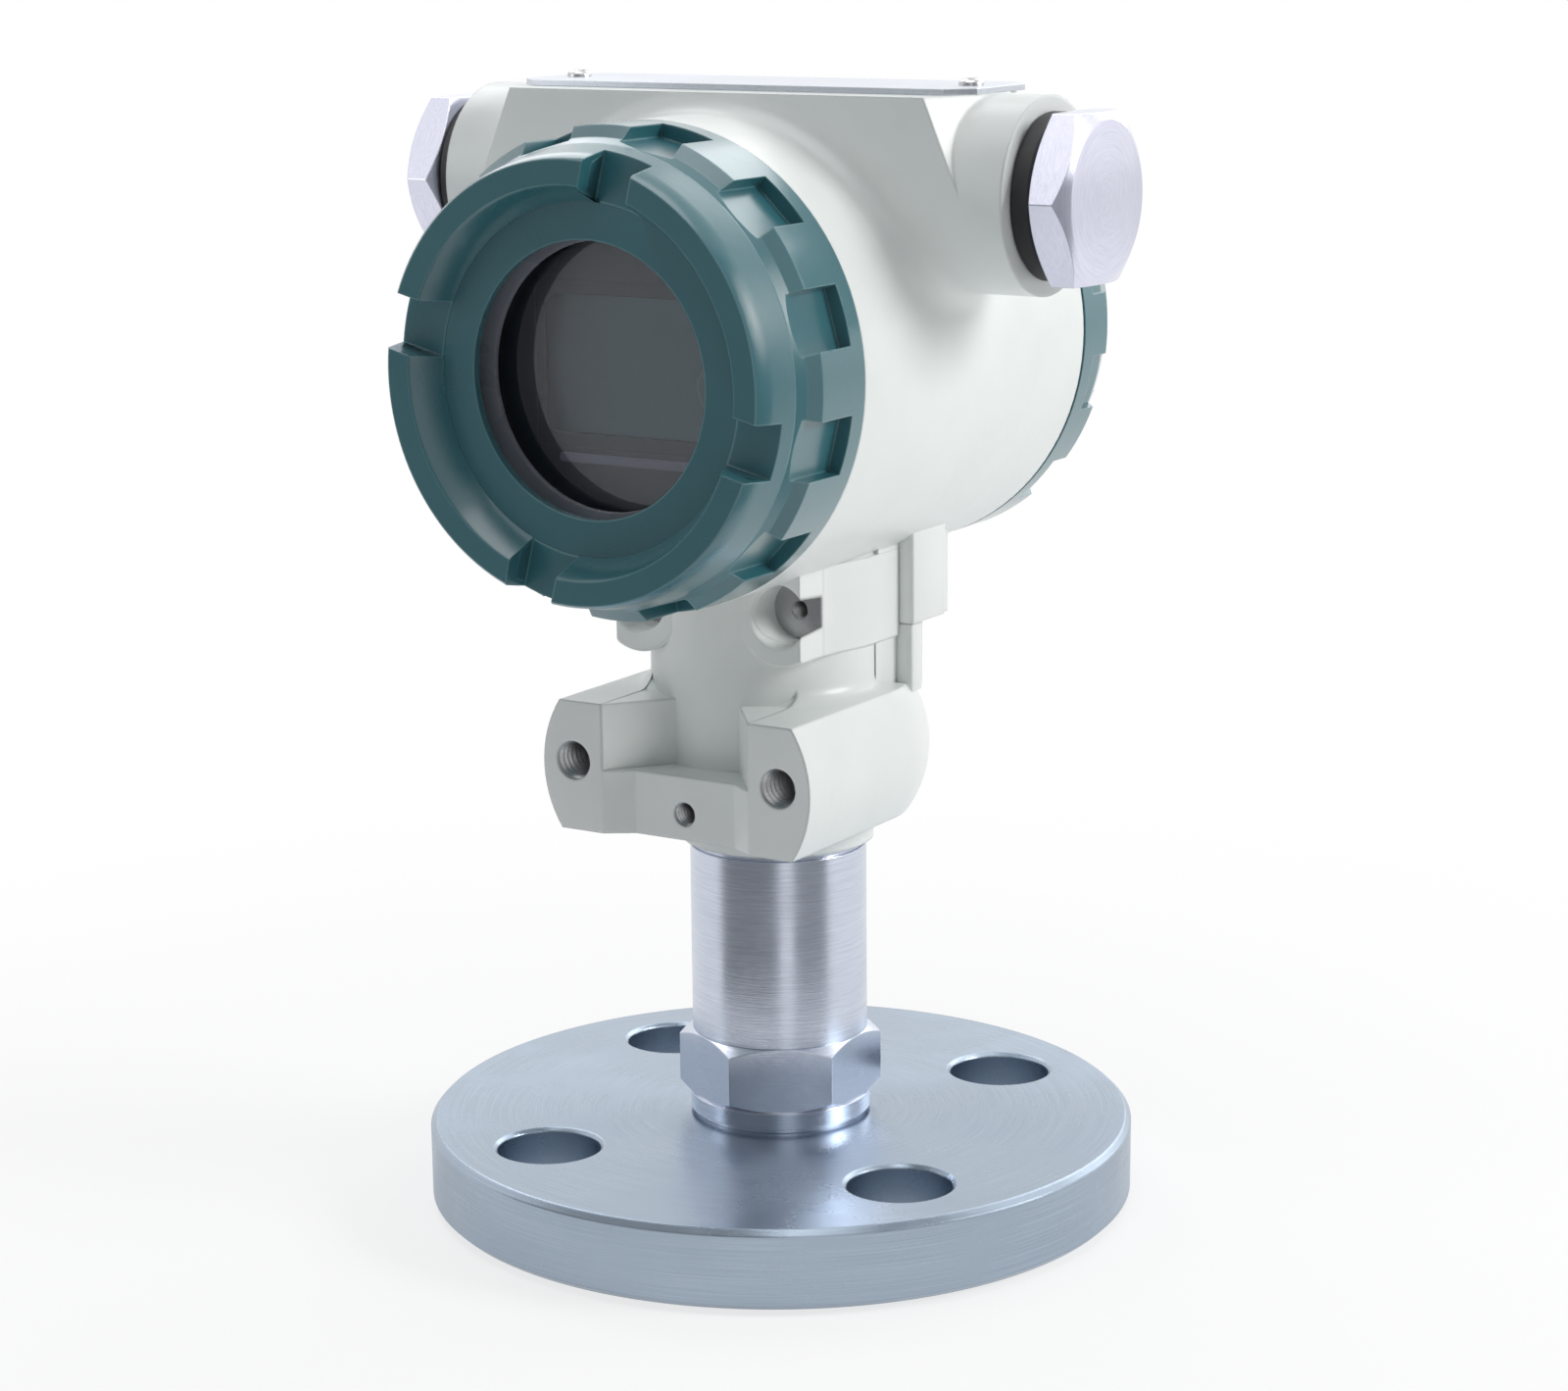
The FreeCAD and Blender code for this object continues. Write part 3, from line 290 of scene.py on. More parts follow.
def makeSteel(name, look, centre=(0, 0, 0), turn=(0, 0, 0)):
    material, tree, shader, place = newMaterial(name)
    mapping = addNode(tree, "ShaderNodeMapping", vector_type="TEXTURE")
    mapping.inputs["Location"].default_value = centre
    mapping.inputs["Rotation"].default_value = turn
    link(tree, place, mapping.inputs["Vector"])
    edge = placeGroup(tree, softEdge, {"Radius": look["edgeRadius"]}, {})
    grain = placeGroup(tree, turnedGrain, {"Depth": look["grain"]},
                       {"Vector": mapping.outputs[0], "Normal": edge.outputs["Normal"]})
    ridge = spread(tree, grain.outputs["Rings"], *grainFinish["ringRange"], 0.0, 1.0)
    link(tree, mixColour(tree, ridge, look["deep"], look["colour"]), shader.inputs["Base Color"])
    linkRoughness(tree, grain.outputs["Patch"], shader, look["roughness"], "steel")
    link(tree, grain.outputs["Normal"], shader.inputs["Normal"])
    setSockets(shader, Metallic=1.0, Anisotropic=look["anisotropic"])
    if look["grainAxis"]:  # the grain runs round this axis
        tangent = addNode(tree, "ShaderNodeTangent", direction_type="RADIAL", axis=look["grainAxis"])
        link(tree, tangent.outputs[0], shader.inputs["Tangent"])
    return material


rubberLook = {"colour": (0.012, 0.012, 0.013, 1), "grey": (0.03, 0.03, 0.032, 1),
              "roughness": 0.55, "peel": 0.15}
gasketLook = {"colour": (0.17, 0.18, 0.21, 1), "grey": (0.25, 0.26, 0.3, 1),
              "roughness": 0.24, "peel": 0.05}
plasticLook = {"colour": (0.009, 0.009, 0.018, 1), "grey": (0.016, 0.015, 0.028, 1),
               "roughness": 0.35, "peel": 0.08}
# The strip's paler colour is a painted highlight of the display frame's lower edge.
highlightStripLook = {"colour": (0.1, 0.095, 0.14, 1), "grey": (0.13, 0.125, 0.17, 1),
             "roughness": 0.35, "peel": 0.05}
blockLook = {"colour": (0.03, 0.03, 0.032, 1), "grey": (0.05, 0.05, 0.052, 1),
             "roughness": 0.45, "peel": 0.15}
boardLook = {"colour": (0.02, 0.11, 0.05, 1), "grey": (0.03, 0.15, 0.07, 1),
             "roughness": 0.3, "peel": 0.05}
mouldedEdge = 0.25 * mm


def makeMoulded(name, look):
    material, tree, shader, place = newMaterial(name)
    edge = placeGroup(tree, softEdge, {"Radius": mouldedEdge}, {})
    peel = placeGroup(tree, orangePeel, {"Depth": look["peel"]},
                      {"Vector": place, "Normal": edge.outputs["Normal"]})
    share = spread(tree, peel.outputs["Patch"], *patchRange, 0, 1)
    link(tree, mixColour(tree, share, look["colour"], look["grey"]), shader.inputs["Base Color"])
    linkRoughness(tree, peel.outputs["Patch"], shader, look["roughness"], "moulded")
    link(tree, peel.outputs["Normal"], shader.inputs["Normal"])
    return material


# Unlit display, grey-green, with a painted reflection: it is lighter on its right and fades to a darker
# blue-grey on its left.
panelLook = {"left": (0.016, 0.028, 0.042, 1), "right": (0.034, 0.064, 0.078, 1),
             "reflectionFadeFrom": -15 * mm, "reflectionFadeTo": 3 * mm, "patch": (22, 1, 0.4), "shade": (0.85, 1.0),
             "roughness": (0.2, 0.28)}


def makePanelFace():
    material, tree, shader, place = newMaterial("displayFace")
    soft = noise(tree, place, *panelLook["patch"])
    split = addNode(tree, "ShaderNodeSeparateXYZ")
    link(tree, place, split.inputs[0])
    # Painted reflection: the colour turns from the darker left colour to the lighter right one across the
    # panel.
    across = spread(tree, split.outputs[0], panelLook["reflectionFadeFrom"], panelLook["reflectionFadeTo"], 0, 1, smooth=True)
    share = maths(tree, "MULTIPLY", across, spread(tree, soft, *patchRange, *panelLook["shade"]))
    link(tree, mixColour(tree, share, panelLook["left"], panelLook["right"]), shader.inputs["Base Color"])
    rough = spread(tree, soft, *patchRange, *panelLook["roughness"])
    link(tree, rough, shader.inputs["Roughness"])
    return material


# Clear glass with a faint smear, which only makes it a little less smooth.
glassLook = {"colour": (0.86, 0.9, 0.93, 1), "index": 1.5, "patch": (30, 3, 0.6),
             "smearRange": (0.4, 0.75), "smear": 0.012}


def makeGlass():
    material, tree, shader, place = newMaterial("windowGlass")
    smear = noise(tree, place, *glassLook["patch"])
    rough = spread(tree, smear, *glassLook["smearRange"], 0.0, glassLook["smear"])
    link(tree, rough, shader.inputs["Roughness"])
    setSockets(shader, Base_Color=glassLook["colour"], IOR=glassLook["index"],
               Transmission_Weight=1.0, Metallic=0.0)
    return material


def plugSteel(side):
    low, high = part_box("conduit_plug_" + side)
    alongX = (0, math.radians(90), 0)
    return makeSteel("plugNickel_" + side, plugLook, (low + high) / 2, alongX)


housingPaint, coverPaint = makePaint("housingPaint", paintWhite), makePaint("coverPaint", paintTeal)
flangeSteel, stemSteel = makeSteel("flangeSteel", flangeLook), makeSteel("stemSteel", stemLook)
screwSteel, plateSteel = makeSteel("screwSteel", screwLook), makeSteel("plateSteel", plateLook)
rubber, gasket = makeMoulded("blackRubber", rubberLook), makeMoulded("greyGasket", gasketLook)
plastic, block = makeMoulded("darkPlastic", plasticLook), makeMoulded("terminalPlastic", blockLook)
highlightStrip, board = makeMoulded("paintedHighlightStrip", highlightStripLook), makeMoulded("circuitBoard", boardLook)
panelFace, glass, brass = makePanelFace(), makeGlass(), makeSteel("terminalBrass", brassLook)
plugNickel = {"left": plugSteel("left"), "right": plugSteel("right")}

finishes = {
    housingPaint: ("housing_casting",), coverPaint: ("front_cover", "rear_cover"),
    flangeSteel: ("flange", "process_diaphragm"),
    stemSteel: ("hex_connector", "sensor_stem", "pressure_cell", "cell_retaining_ring", "capillary_tube"),
    screwSteel: ("head_lock_screw", "display_posts", "display_screws", "feedthrough", "terminal_screws",
                 "chamber_earth_screw", "window_snap_ring", "nameplate_screws"),
    plateSteel: ("nameplate",), brass: ("terminal_clamps",),
    rubber: ("stem_seal", "cell_seal", "front_cover_seal", "rear_cover_seal", "sensor_lead",
             "plug_washer_left", "plug_washer_right"),
    gasket: ("window_gasket",), plastic: ("display_bezel", "electronics_module"),
    block: ("terminal_block",), board: ("display_board",), panelFace: ("display_panel",),
    glass: ("window_glass",),
    plugNickel["left"]: ("conduit_plug_left",), plugNickel["right"]: ("conduit_plug_right",),
}
for material, names in finishes.items():
    for name in names:
        nodes[name].data.materials.clear()
        nodes[name].data.materials.append(material)
print("materials on", len(nodes), "CAD nodes")


def millimetres(x, y, z):
    return Matrix.Translation(Vector((x, y, z)) * mm)


def turned(axis, degrees=90):
    return Matrix.Rotation(math.radians(degrees), 4, axis)


# Lengths in metres under which points and edges are merged, and the bevel of carved blocks.
meshCare = {"merge": 1e-7, "tinyEdge": 1e-8, "bevelSteps": 2, "bevelAngle": 40}


def shapeMesh(points, faces, place):
    mesh = bpy.data.meshes.new("shape")
    mesh.from_pydata([place @ (Vector(point) * mm) for point in points], [], faces)
    shape = bmesh.new()
    shape.from_mesh(mesh)
    bmesh.ops.remove_doubles(shape, verts=shape.verts, dist=meshCare["merge"])
    bmesh.ops.dissolve_degenerate(shape, dist=meshCare["tinyEdge"], edges=shape.edges)
    bmesh.ops.recalc_face_normals(shape, faces=shape.faces)
    shape.to_mesh(mesh)
    shape.free()
    return mesh


# Turns a closed outline of (radius, height) about Z; a radius of 0 closes to a pole.
def latheMesh(outline, place, steps):
    points, faces, count = [], [], len(outline)
    for i in range(steps):
        angle = 2 * math.pi * i / steps
        points += [(radius * math.cos(angle), radius * math.sin(angle), height)
                   for radius, height in outline]
        here, after = i * count, (i + 1) % steps * count
        for j in range(count):
            k = (j + 1) % count
            if outline[j][0] > 0 or outline[k][0] > 0:
                faces.append((here + j, after + j, after + k, here + k))
    return shapeMesh(points, faces, place)


# Raises a flat outline of (x, y) from low to high.
def prismMesh(outline, low, high, place=Matrix()):
    count = len(outline)
    points = [(x, y, z) for z in (low, high) for x, y in outline]
    faces = [tuple(range(count)), tuple(range(count, 2 * count))]
    faces += [(i, (i + 1) % count, count + (i + 1) % count, count + i) for i in range(count)]
    return shapeMesh(points, faces, place)


def blockMesh(low, high, place=Matrix()):
    corners = [(low[0], low[1]), (high[0], low[1]), (high[0], high[1]), (low[0], high[1])]
    return prismMesh(corners, low[2], high[2], place)


# Cuts, joins or keeps the common part through throwaway objects, so nothing is left on the piece.
def carve(mesh, tools, operation="DIFFERENCE", bevel=0.0):
    scene = bpy.context.scene.collection.objects
    body = bpy.data.objects.new("carveBody", mesh)
    scene.link(body)
    helpers = []
    for tool in tools:
        helper = bpy.data.objects.new("carveTool", tool)
        scene.link(helper)
        helpers.append(helper)
        cut = body.modifiers.new("cut", "BOOLEAN")
        cut.operation, cut.solver, cut.object = operation, "EXACT", helper
    if bevel:
        edge = body.modifiers.new("edge", "BEVEL")
        edge.width, edge.segments, edge.limit_method = bevel * mm, meshCare["bevelSteps"], "ANGLE"
        edge.angle_limit = math.radians(meshCare["bevelAngle"])
    bpy.context.view_layer.update()
    result = bpy.data.meshes.new_from_object(body.evaluated_get(bpy.context.evaluated_depsgraph_get()))
    for thing in [body] + helpers:
        bpy.data.objects.remove(thing)
    return result


def mirrored(mesh):
    twin = mesh.copy()
    twin.transform(Matrix.Scale(-1, 4, (1, 0, 0)))
    twin.flip_normals()
    return twin


def joinMeshes(meshes):
    shape = bmesh.new()
    for mesh in meshes:
        shape.from_mesh(mesh)
    joined = bpy.data.meshes.new("joined")
    shape.to_mesh(joined)
    shape.free()
    return joined


def addPiece(name, mesh, material, body, replaces=None, sharp=35):
    mesh.name = name
    mesh.materials.clear()
    mesh.materials.append(material)
    mesh.polygons.foreach_set("use_smooth", [True] * len(mesh.polygons))
    mesh.set_sharp_from_angle(angle=math.radians(sharp))
    mesh.update()
    piece = bpy.data.objects.new(name, mesh)
    bpy.context.scene.collection.objects.link(piece)
    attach(piece, body)
    if replaces:
        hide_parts(replaces)


# The tall rim of the front cover, with its four wrench gaps; heights stand out from the barrel's front.
coverRim = {"outline": ((36.85, 16.3), (35.95, 21.4), (35.3, 24.6), (34.9, 25.0), (31.0, 25.0),
                        (30.6, 24.6), (28.1, 19.25), (28.9, 18.6), (35.4, 16.2)),
            "gapWidth": 9.2, "gapFloor": 19.25, "gapTop": 40, "gapReach": 60,
            "turn": -14.0, "front": -36.2, "axisHeight": 151.6, "steps": 144}


def makeCoverRim():
    c = coverRim
    place = millimetres(0, c["front"], c["axisHeight"]) @ turned("X") @ turned("Z", c["turn"])
    rim = latheMesh(c["outline"], place, c["steps"])
    half, reach, floor, top = c["gapWidth"] / 2, c["gapReach"], c["gapFloor"], c["gapTop"]
    bars = [blockMesh((-half, -reach, floor), (half, reach, top), place),
            blockMesh((-reach, -half, floor), (reach, half, top), place)]
    addPiece("coverRim", carve(rim, bars), coverPaint, "front_cover")


# Earth bosses beside the neck: round, cut flat outside, counterbored through the flat, with a bar
# behind. Heights here run forward from the object's middle plane.
earthBoss = {"centre": 14.0, "height": 109.4, "radius": 8.7, "front": 22.0, "back": -6.9,
             "edge": 0.5, "boreFront": 5.35, "boreEdge": 0.3, "boreFloor": 5.0, "floor": 14.82,
             "hole": 1.6, "flat": 4.35,
             "padRadius": 4.9, "padLow": 14.8, "padHigh": 14.9, "padInset": 0.25, "cutReach": 20.0,
             "bar": ((16.2, -14.4), (18.3, -14.4), (20.55, -4.0), (20.55, 7.05), (16.2, 7.05)),
             "barHalf": 7.6, "steps": 72, "padSteps": 48}


def outsideBlock(side, inset, place):
    reach = earthBoss["cutReach"]
    low, high = sorted((side * inset, side * reach))
    return blockMesh((low, -reach, -reach), (high, reach, 2 * reach), place)


def makeEarthBosses():
    b, bosses, pads = earthBoss, [], []
    outline = ((b["hole"], b["back"]), (b["radius"], b["back"]), (b["radius"], b["front"] - b["edge"]),
               (b["radius"] - b["edge"], b["front"]), (b["boreFront"] + b["boreEdge"], b["front"]),
               (b["boreFront"], b["front"] - b["boreEdge"]), (b["boreFloor"], b["floor"]),
               (b["hole"], b["floor"]))
    padOutline = ((b["hole"], b["padLow"]), (b["padRadius"], b["padLow"]),
                  (b["padRadius"], b["padHigh"]), (b["hole"], b["padHigh"]))
    for side in (-1, 1):
        place = millimetres(side * b["centre"], 0, b["height"]) @ turned("X")
        cut = outsideBlock(side, b["flat"], place)
        bosses.append(carve(latheMesh(outline, place, b["steps"]), [cut]))
        bar = prismMesh(b["bar"], b["height"] - b["barHalf"], b["height"] + b["barHalf"])
        bosses.append(bar if side > 0 else mirrored(bar))
        cut = outsideBlock(side, b["flat"] - b["padInset"], place)
        pads.append(carve(latheMesh(padOutline, place, b["padSteps"]), [cut]))
    addPiece("earthBosses", joinMeshes(bosses), housingPaint, "head")
    addPiece("earthPads", joinMeshes(pads), screwSteel, "head")


# Stepped ribs on both sides of the neck, and the slanted cheeks of the recess above the lug.
neckRibs = {"upper": ((20.3, 7.0, 103.8), (23.4, 18.3, 124.0)),
            "lower": ((19.8, 7.0, 91.9), (23.1, 10.8, 103.9)), "bevel": 0.5}
recessCheeks = {"outline": ((14.6, -32.65), (5.2, -20.7), (5.2, -12.5), (15.8, -12.5), (15.5, -32.0)),
                "low": 81.9, "high": 93.45}
cheekRamp = {"outline": ((-19.4, 93.4), (-12.5, 93.4), (-12.5, 96.2), (-16.2, 95.6)),
             "inner": 8.0, "outer": 14.75}
sideways = Matrix(((0, 0, 1, 0), (1, 0, 0, 0), (0, 1, 0, 0), (0, 0, 0, 1)))  # raises along X


def makeNeckDetails():
    ribs = [carve(blockMesh(*neckRibs[part]), [], bevel=neckRibs["bevel"])
            for part in ("upper", "lower")]
    cheek = prismMesh(recessCheeks["outline"], recessCheeks["low"], recessCheeks["high"])
    ribs += [mirrored(rib) for rib in ribs]
    addPiece("neckRibs", joinMeshes(ribs), housingPaint, "head")
    ramp = prismMesh(cheekRamp["outline"], cheekRamp["inner"], cheekRamp["outer"], sideways)
    cheeks = [cheek, mirrored(cheek), ramp, mirrored(ramp)]
    addPiece("recessCheeks", joinMeshes(cheeks), housingPaint, "head")


# Hexagonal conduit plugs with a turned chamfer and a short shank, and a thick washer behind the head.
# Heights run outward from the face of the conduit boss.
conduitPlug = {"face": 54.0, "y": -3.0, "z": 178.4, "flats": 27.0, "headBack": 3.6, "headFront": 10.6,
               "backRadius": 13.1, "backChamfer": 1.1, "faceRadius": 12.5, "chamfer": 2.0,
               "faceEdge": (0.4, 0.12), "clear": 0.1, "hexLow": 2.0, "hexHigh": 12.0,
               "shank": 9.5, "shankEnd": 3.9, "tipRadius": 8.6, "tipLength": 0.9,
               "steps": 96, "shankSteps": 64}
plugWasher = {"inner": 10.4, "outer": 13.4, "thick": 3.6, "round": 0.5, "steps": 80}


def plugPlace(side):
    sign = 1 if side == "right" else -1
    middle = millimetres(sign * conduitPlug["face"], conduitPlug["y"], conduitPlug["z"])
    return middle @ turned("Y", 90 * sign)


def plugMesh(side, place):
    p = conduitPlug
    low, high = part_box("conduit_plug_" + side)
    inner = p["face"] - min(abs(low[0]), abs(high[0])) / mm
    corner = p["flats"] / math.sqrt(3)
    hexagon = [(corner * math.cos(math.radians(angle)), corner * math.sin(math.radians(angle)))
               for angle in range(30, 390, 60)]
    rim, inset, drop = corner + p["clear"], *p["faceEdge"]
    chamfers = latheMesh(((0, p["headBack"]), (p["backRadius"], p["headBack"]),
                          (rim, p["headBack"] + p["backChamfer"]), (rim, p["headFront"] - p["chamfer"]),
                          (p["faceRadius"], p["headFront"] - drop),
                          (p["faceRadius"] - inset, p["headFront"]), (0, p["headFront"])),
                         place, p["steps"])
    head = carve(prismMesh(hexagon, p["hexLow"], p["hexHigh"], place), [chamfers], "INTERSECT")
    shank = latheMesh(((0, -inner), (p["tipRadius"], -inner), (p["shank"], -inner + p["tipLength"]),
                       (p["shank"], p["shankEnd"]), (0, p["shankEnd"])), place, p["shankSteps"])
    return joinMeshes([head, shank])


def washerMesh(place):
    w = plugWasher
    return latheMesh(((w["inner"], 0), (w["outer"] - w["round"], 0), (w["outer"], w["round"]),
                      (w["outer"], w["thick"] - w["round"]), (w["outer"] - w["round"], w["thick"]),
                      (w["inner"], w["thick"])), place, w["steps"])


def makePlugs():
    for side in ("left", "right"):
        place = plugPlace(side)
        addPiece("conduitPlug_" + side, plugMesh(side, place), plugNickel[side], "plug_" + side,
                 "conduit_plug_" + side, sharp=20)
        addPiece("plugWasher_" + side, washerMesh(place), rubber, "washer_" + side,
                 "plug_washer_" + side)


# A helical ridge: a spiral with a small diamond section swept along it.
threadDetail = {"stepsPerTurn": 28, "ridgeSides": 4}


def makeThreadTree():
    tree = bpy.data.node_groups.new("threadRidge", "GeometryNodeTree")
    tree.interface.new_socket("Geometry", in_out="INPUT", socket_type="NodeSocketGeometry")
    kinds = {"Radius": "Float", "Turns": "Float", "Length": "Float", "Ridge": "Float", "Finish": "Material"}
    labels = {}
    for label, kind in kinds.items():
        socket = tree.interface.new_socket(label, in_out="INPUT", socket_type="NodeSocket" + kind)
        labels[label] = socket.identifier
    tree.interface.new_socket("Geometry", in_out="OUTPUT", socket_type="NodeSocketGeometry")
    start, end = tree.nodes.new("NodeGroupInput"), tree.nodes.new("NodeGroupOutput")
    spiral = addNode(tree, "GeometryNodeCurveSpiral")
    spiral.inputs["Resolution"].default_value = threadDetail["stepsPerTurn"]
    for label, name in (("Turns", "Rotations"), ("Radius", "Start Radius"), ("Radius", "End Radius"),
                        ("Length", "Height")):
        link(tree, start.outputs[label], spiral.inputs[name])
    upright = addNode(tree, "GeometryNodeSetCurveNormal", mode="Z_UP")
    link(tree, spiral.outputs[0], upright.inputs["Curve"])
    section = addNode(tree, "GeometryNodeCurvePrimitiveCircle", mode="RADIUS")
    section.inputs["Resolution"].default_value = threadDetail["ridgeSides"]
    link(tree, start.outputs["Ridge"], section.inputs["Radius"])
    swept = addNode(tree, "GeometryNodeCurveToMesh")
    swept.inputs["Fill Caps"].default_value = True
    link(tree, upright.outputs[0], swept.inputs["Curve"])
    link(tree, section.outputs["Curve"], swept.inputs["Profile Curve"])
    real = addNode(tree, "GeometryNodeRealizeInstances")
    finish = addNode(tree, "GeometryNodeSetMaterial")
    link(tree, swept.outputs["Mesh"], real.inputs[0])
    link(tree, real.outputs[0], finish.inputs["Geometry"])
    link(tree, start.outputs["Finish"], finish.inputs["Material"])
    link(tree, finish.outputs[0], end.inputs[0])
    return tree, labels


threadTree, threadLabels = makeThreadTree()
# Each run: radius, pitch, length and ridge, then where it starts and which way it goes.
bracketThread, bracketStart = (3.4, 1.25, 12.0, 0.5), (20.45, -32.2, 83.1)
earthThread, earthStart = (1.6, 0.7, 4.6, 0.3), (earthBoss["centre"], -14.6, earthBoss["height"])
lugThread, lugStart = (2.05, 0.8, 10.4, 0.35), (0, -29.2, 75.5)
plugThread, plugStart = (9.45, 1.5, 9.0, 0.5), (43.6, conduitPlug["y"], conduitPlug["z"])


def sidewaysStart(side, start):
    return side * start[0], start[1], start[2]


threadRuns = {
    "head": [(*bracketThread, sidewaysStart(side, bracketStart), "X", -90) for side in (-1, 1)]
            + [(*earthThread, sidewaysStart(side, earthStart), "X", -90) for side in (-1, 1)]
            + [(*lugThread, lugStart, "X", -90)],
    "plug_left": [(*plugThread, sidewaysStart(-1, plugStart), "Y", -90)],
    "plug_right": [(*plugThread, sidewaysStart(1, plugStart), "Y", 90)],
}


def ridgeMesh(run, material):
    radius, pitch, length, ridge, start, axis, turn = run
    carrier = bpy.data.objects.new("threadCarrier", bpy.data.meshes.new("threadCarrier"))
    bpy.context.scene.collection.objects.link(carrier)
    modifier = carrier.modifiers.new("threadRidge", "NODES")
    modifier.node_group = threadTree
    values = {"Radius": radius * mm, "Turns": length / pitch, "Length": length * mm, "Ridge": ridge * mm,
              "Finish": material}
    for label, value in values.items():
        modifier[threadLabels[label]] = value
    bpy.context.view_layer.update()
    mesh = bpy.data.meshes.new_from_object(carrier.evaluated_get(bpy.context.evaluated_depsgraph_get()))
    carrier.modifiers.remove(modifier)
    bpy.data.objects.remove(carrier)
    mesh.transform(millimetres(*start) @ turned(axis, turn))
    return mesh


def makeThreads():
    cutIn = {"head": (screwSteel, "screw_steel"), "plug_left": (plugNickel["left"], "plug_nickel"),
             "plug_right": (plugNickel["right"], "plug_nickel")}
    for body, runs in threadRuns.items():
        material, slot = cutIn[body]
        ridges = joinMeshes([ridgeMesh(run, material) for run in runs])
        addPiece("threads_" + body, ridges, material, body)


# Pan-head screws of the blank nameplate, with a cross recess.
plateScrew = {"x": 38.5, "y": -0.5, "seat": 195.35, "radius": 2.1, "height": 1.3, "edge": 0.45,
              "domeSteps": (25, 50, 70), "slot": 0.7, "slotLength": 2.4, "slotFloor": 0.5, "slotTop": 3,
              "turn": 20, "steps": 40}


def makePlateScrews():
    s, heads = plateScrew, []
    for side in (-1, 1):
        place = millimetres(side * s["x"], s["y"], s["seat"]) @ turned("Z", s["turn"] * side)
        dome = [(0, 0), (s["radius"], 0), (s["radius"], s["edge"])]
        for degrees in s["domeSteps"]:
            angle = math.radians(degrees)
            dome.append((s["radius"] * math.cos(angle),
                         s["edge"] + (s["height"] - s["edge"]) * math.sin(angle)))
        dome.append((0, s["height"]))
        half, reach, floor, top = s["slot"] / 2, s["slotLength"] / 2, s["slotFloor"], s["slotTop"]
        bars = [blockMesh((-reach, -half, floor), (reach, half, top), place),
                blockMesh((-half, -reach, floor), (half, reach, top), place)]
        heads.append(carve(latheMesh(dome, place, s["steps"]), bars))
    addPiece("plateScrews", joinMeshes(heads), screwSteel, "head", "nameplate_screws")


# The display's dark rounded mask and a strip under it, just in front of the panel; the strip's paler colour
# is a painted highlight of the frame's lower edge.
displayMask = {"half": (17.6, 13.7), "opening": (15.6, 11.2), "corner": 2.2, "centre": 152.6,
               "back": -42.6, "thick": 0.45, "cut": (-1, 2), "stripHeight": 137.4,
               "stripHalf": (13.0, 0.8), "stripCorner": 0.7, "stripForward": 0.55,
               "stripDepth": (-0.6, 0.15), "cornerSteps": 6}


def roundedOutline(halfWidth, halfHeight, corner):
    points, steps = [], displayMask["cornerSteps"]
    for signX, signY, begin in ((1, 1, 0), (-1, 1, 90), (-1, -1, 180), (1, -1, 270)):
        for i in range(steps + 1):
            angle = math.radians(begin + 90 * i / steps)
            points.append((signX * (halfWidth - corner) + corner * math.cos(angle),
                           signY * (halfHeight - corner) + corner * math.sin(angle)))
    return points


def makeDisplayMask():
    d = displayMask
    place = millimetres(0, d["back"], d["centre"]) @ turned("X")
    mask = prismMesh(roundedOutline(*d["half"], d["corner"]), 0, d["thick"], place)
    hole = prismMesh(roundedOutline(*d["opening"], d["corner"]), *d["cut"], place)
    addPiece("displayMask", carve(mask, [hole]), plastic, "head")
    place = millimetres(0, d["back"] - d["stripForward"], d["stripHeight"]) @ turned("X")
    bar = prismMesh(roundedOutline(*d["stripHalf"], d["stripCorner"]), *d["stripDepth"], place)
    addPiece("displayHighlightStrip", bar, highlightStrip, "head")


makeCoverRim()
makeEarthBosses()
makeNeckDetails()
makePlugs()
makeThreads()
makePlateScrews()
makeDisplayMask()
print("cover rim, bosses, ribs, plugs, threads, screws and display mask are made")

viewpoint = {"place": (0.32623, -0.52203, 0.22703), "azimuth": 32.10, "elevation": 14.31, "roll": -0.589,
             "lens": 83.1, "sensor": 36.0, "shift": (0.0077, 0.072), "clipStart": 0.01}


def makeCamera():
    az, el, roll = (math.radians(viewpoint[name]) for name in ("azimuth", "elevation", "roll"))
    ahead = Vector((-math.sin(az) * math.cos(el), math.cos(az) * math.cos(el), -math.sin(el)))
    right = Vector((math.cos(az), math.sin(az), 0))
    up = right.cross(ahead)
    across = right * math.cos(roll) + up * math.sin(roll)
    above = up * math.cos(roll) - right * math.sin(roll)
    turn = Matrix((across, above, -ahead)).transposed()
    camera = bpy.data.objects.new("camera", bpy.data.cameras.new("camera"))
    camera.matrix_world = Matrix.Translation(viewpoint["place"]) @ turn.to_4x4()
    camera.data.lens, camera.data.sensor_width = viewpoint["lens"], viewpoint["sensor"]
    camera.data.shift_x, camera.data.shift_y = viewpoint["shift"]
    camera.data.clip_start = viewpoint["clipStart"]
    bpy.context.scene.collection.objects.link(camera)
    bpy.context.scene.camera = camera


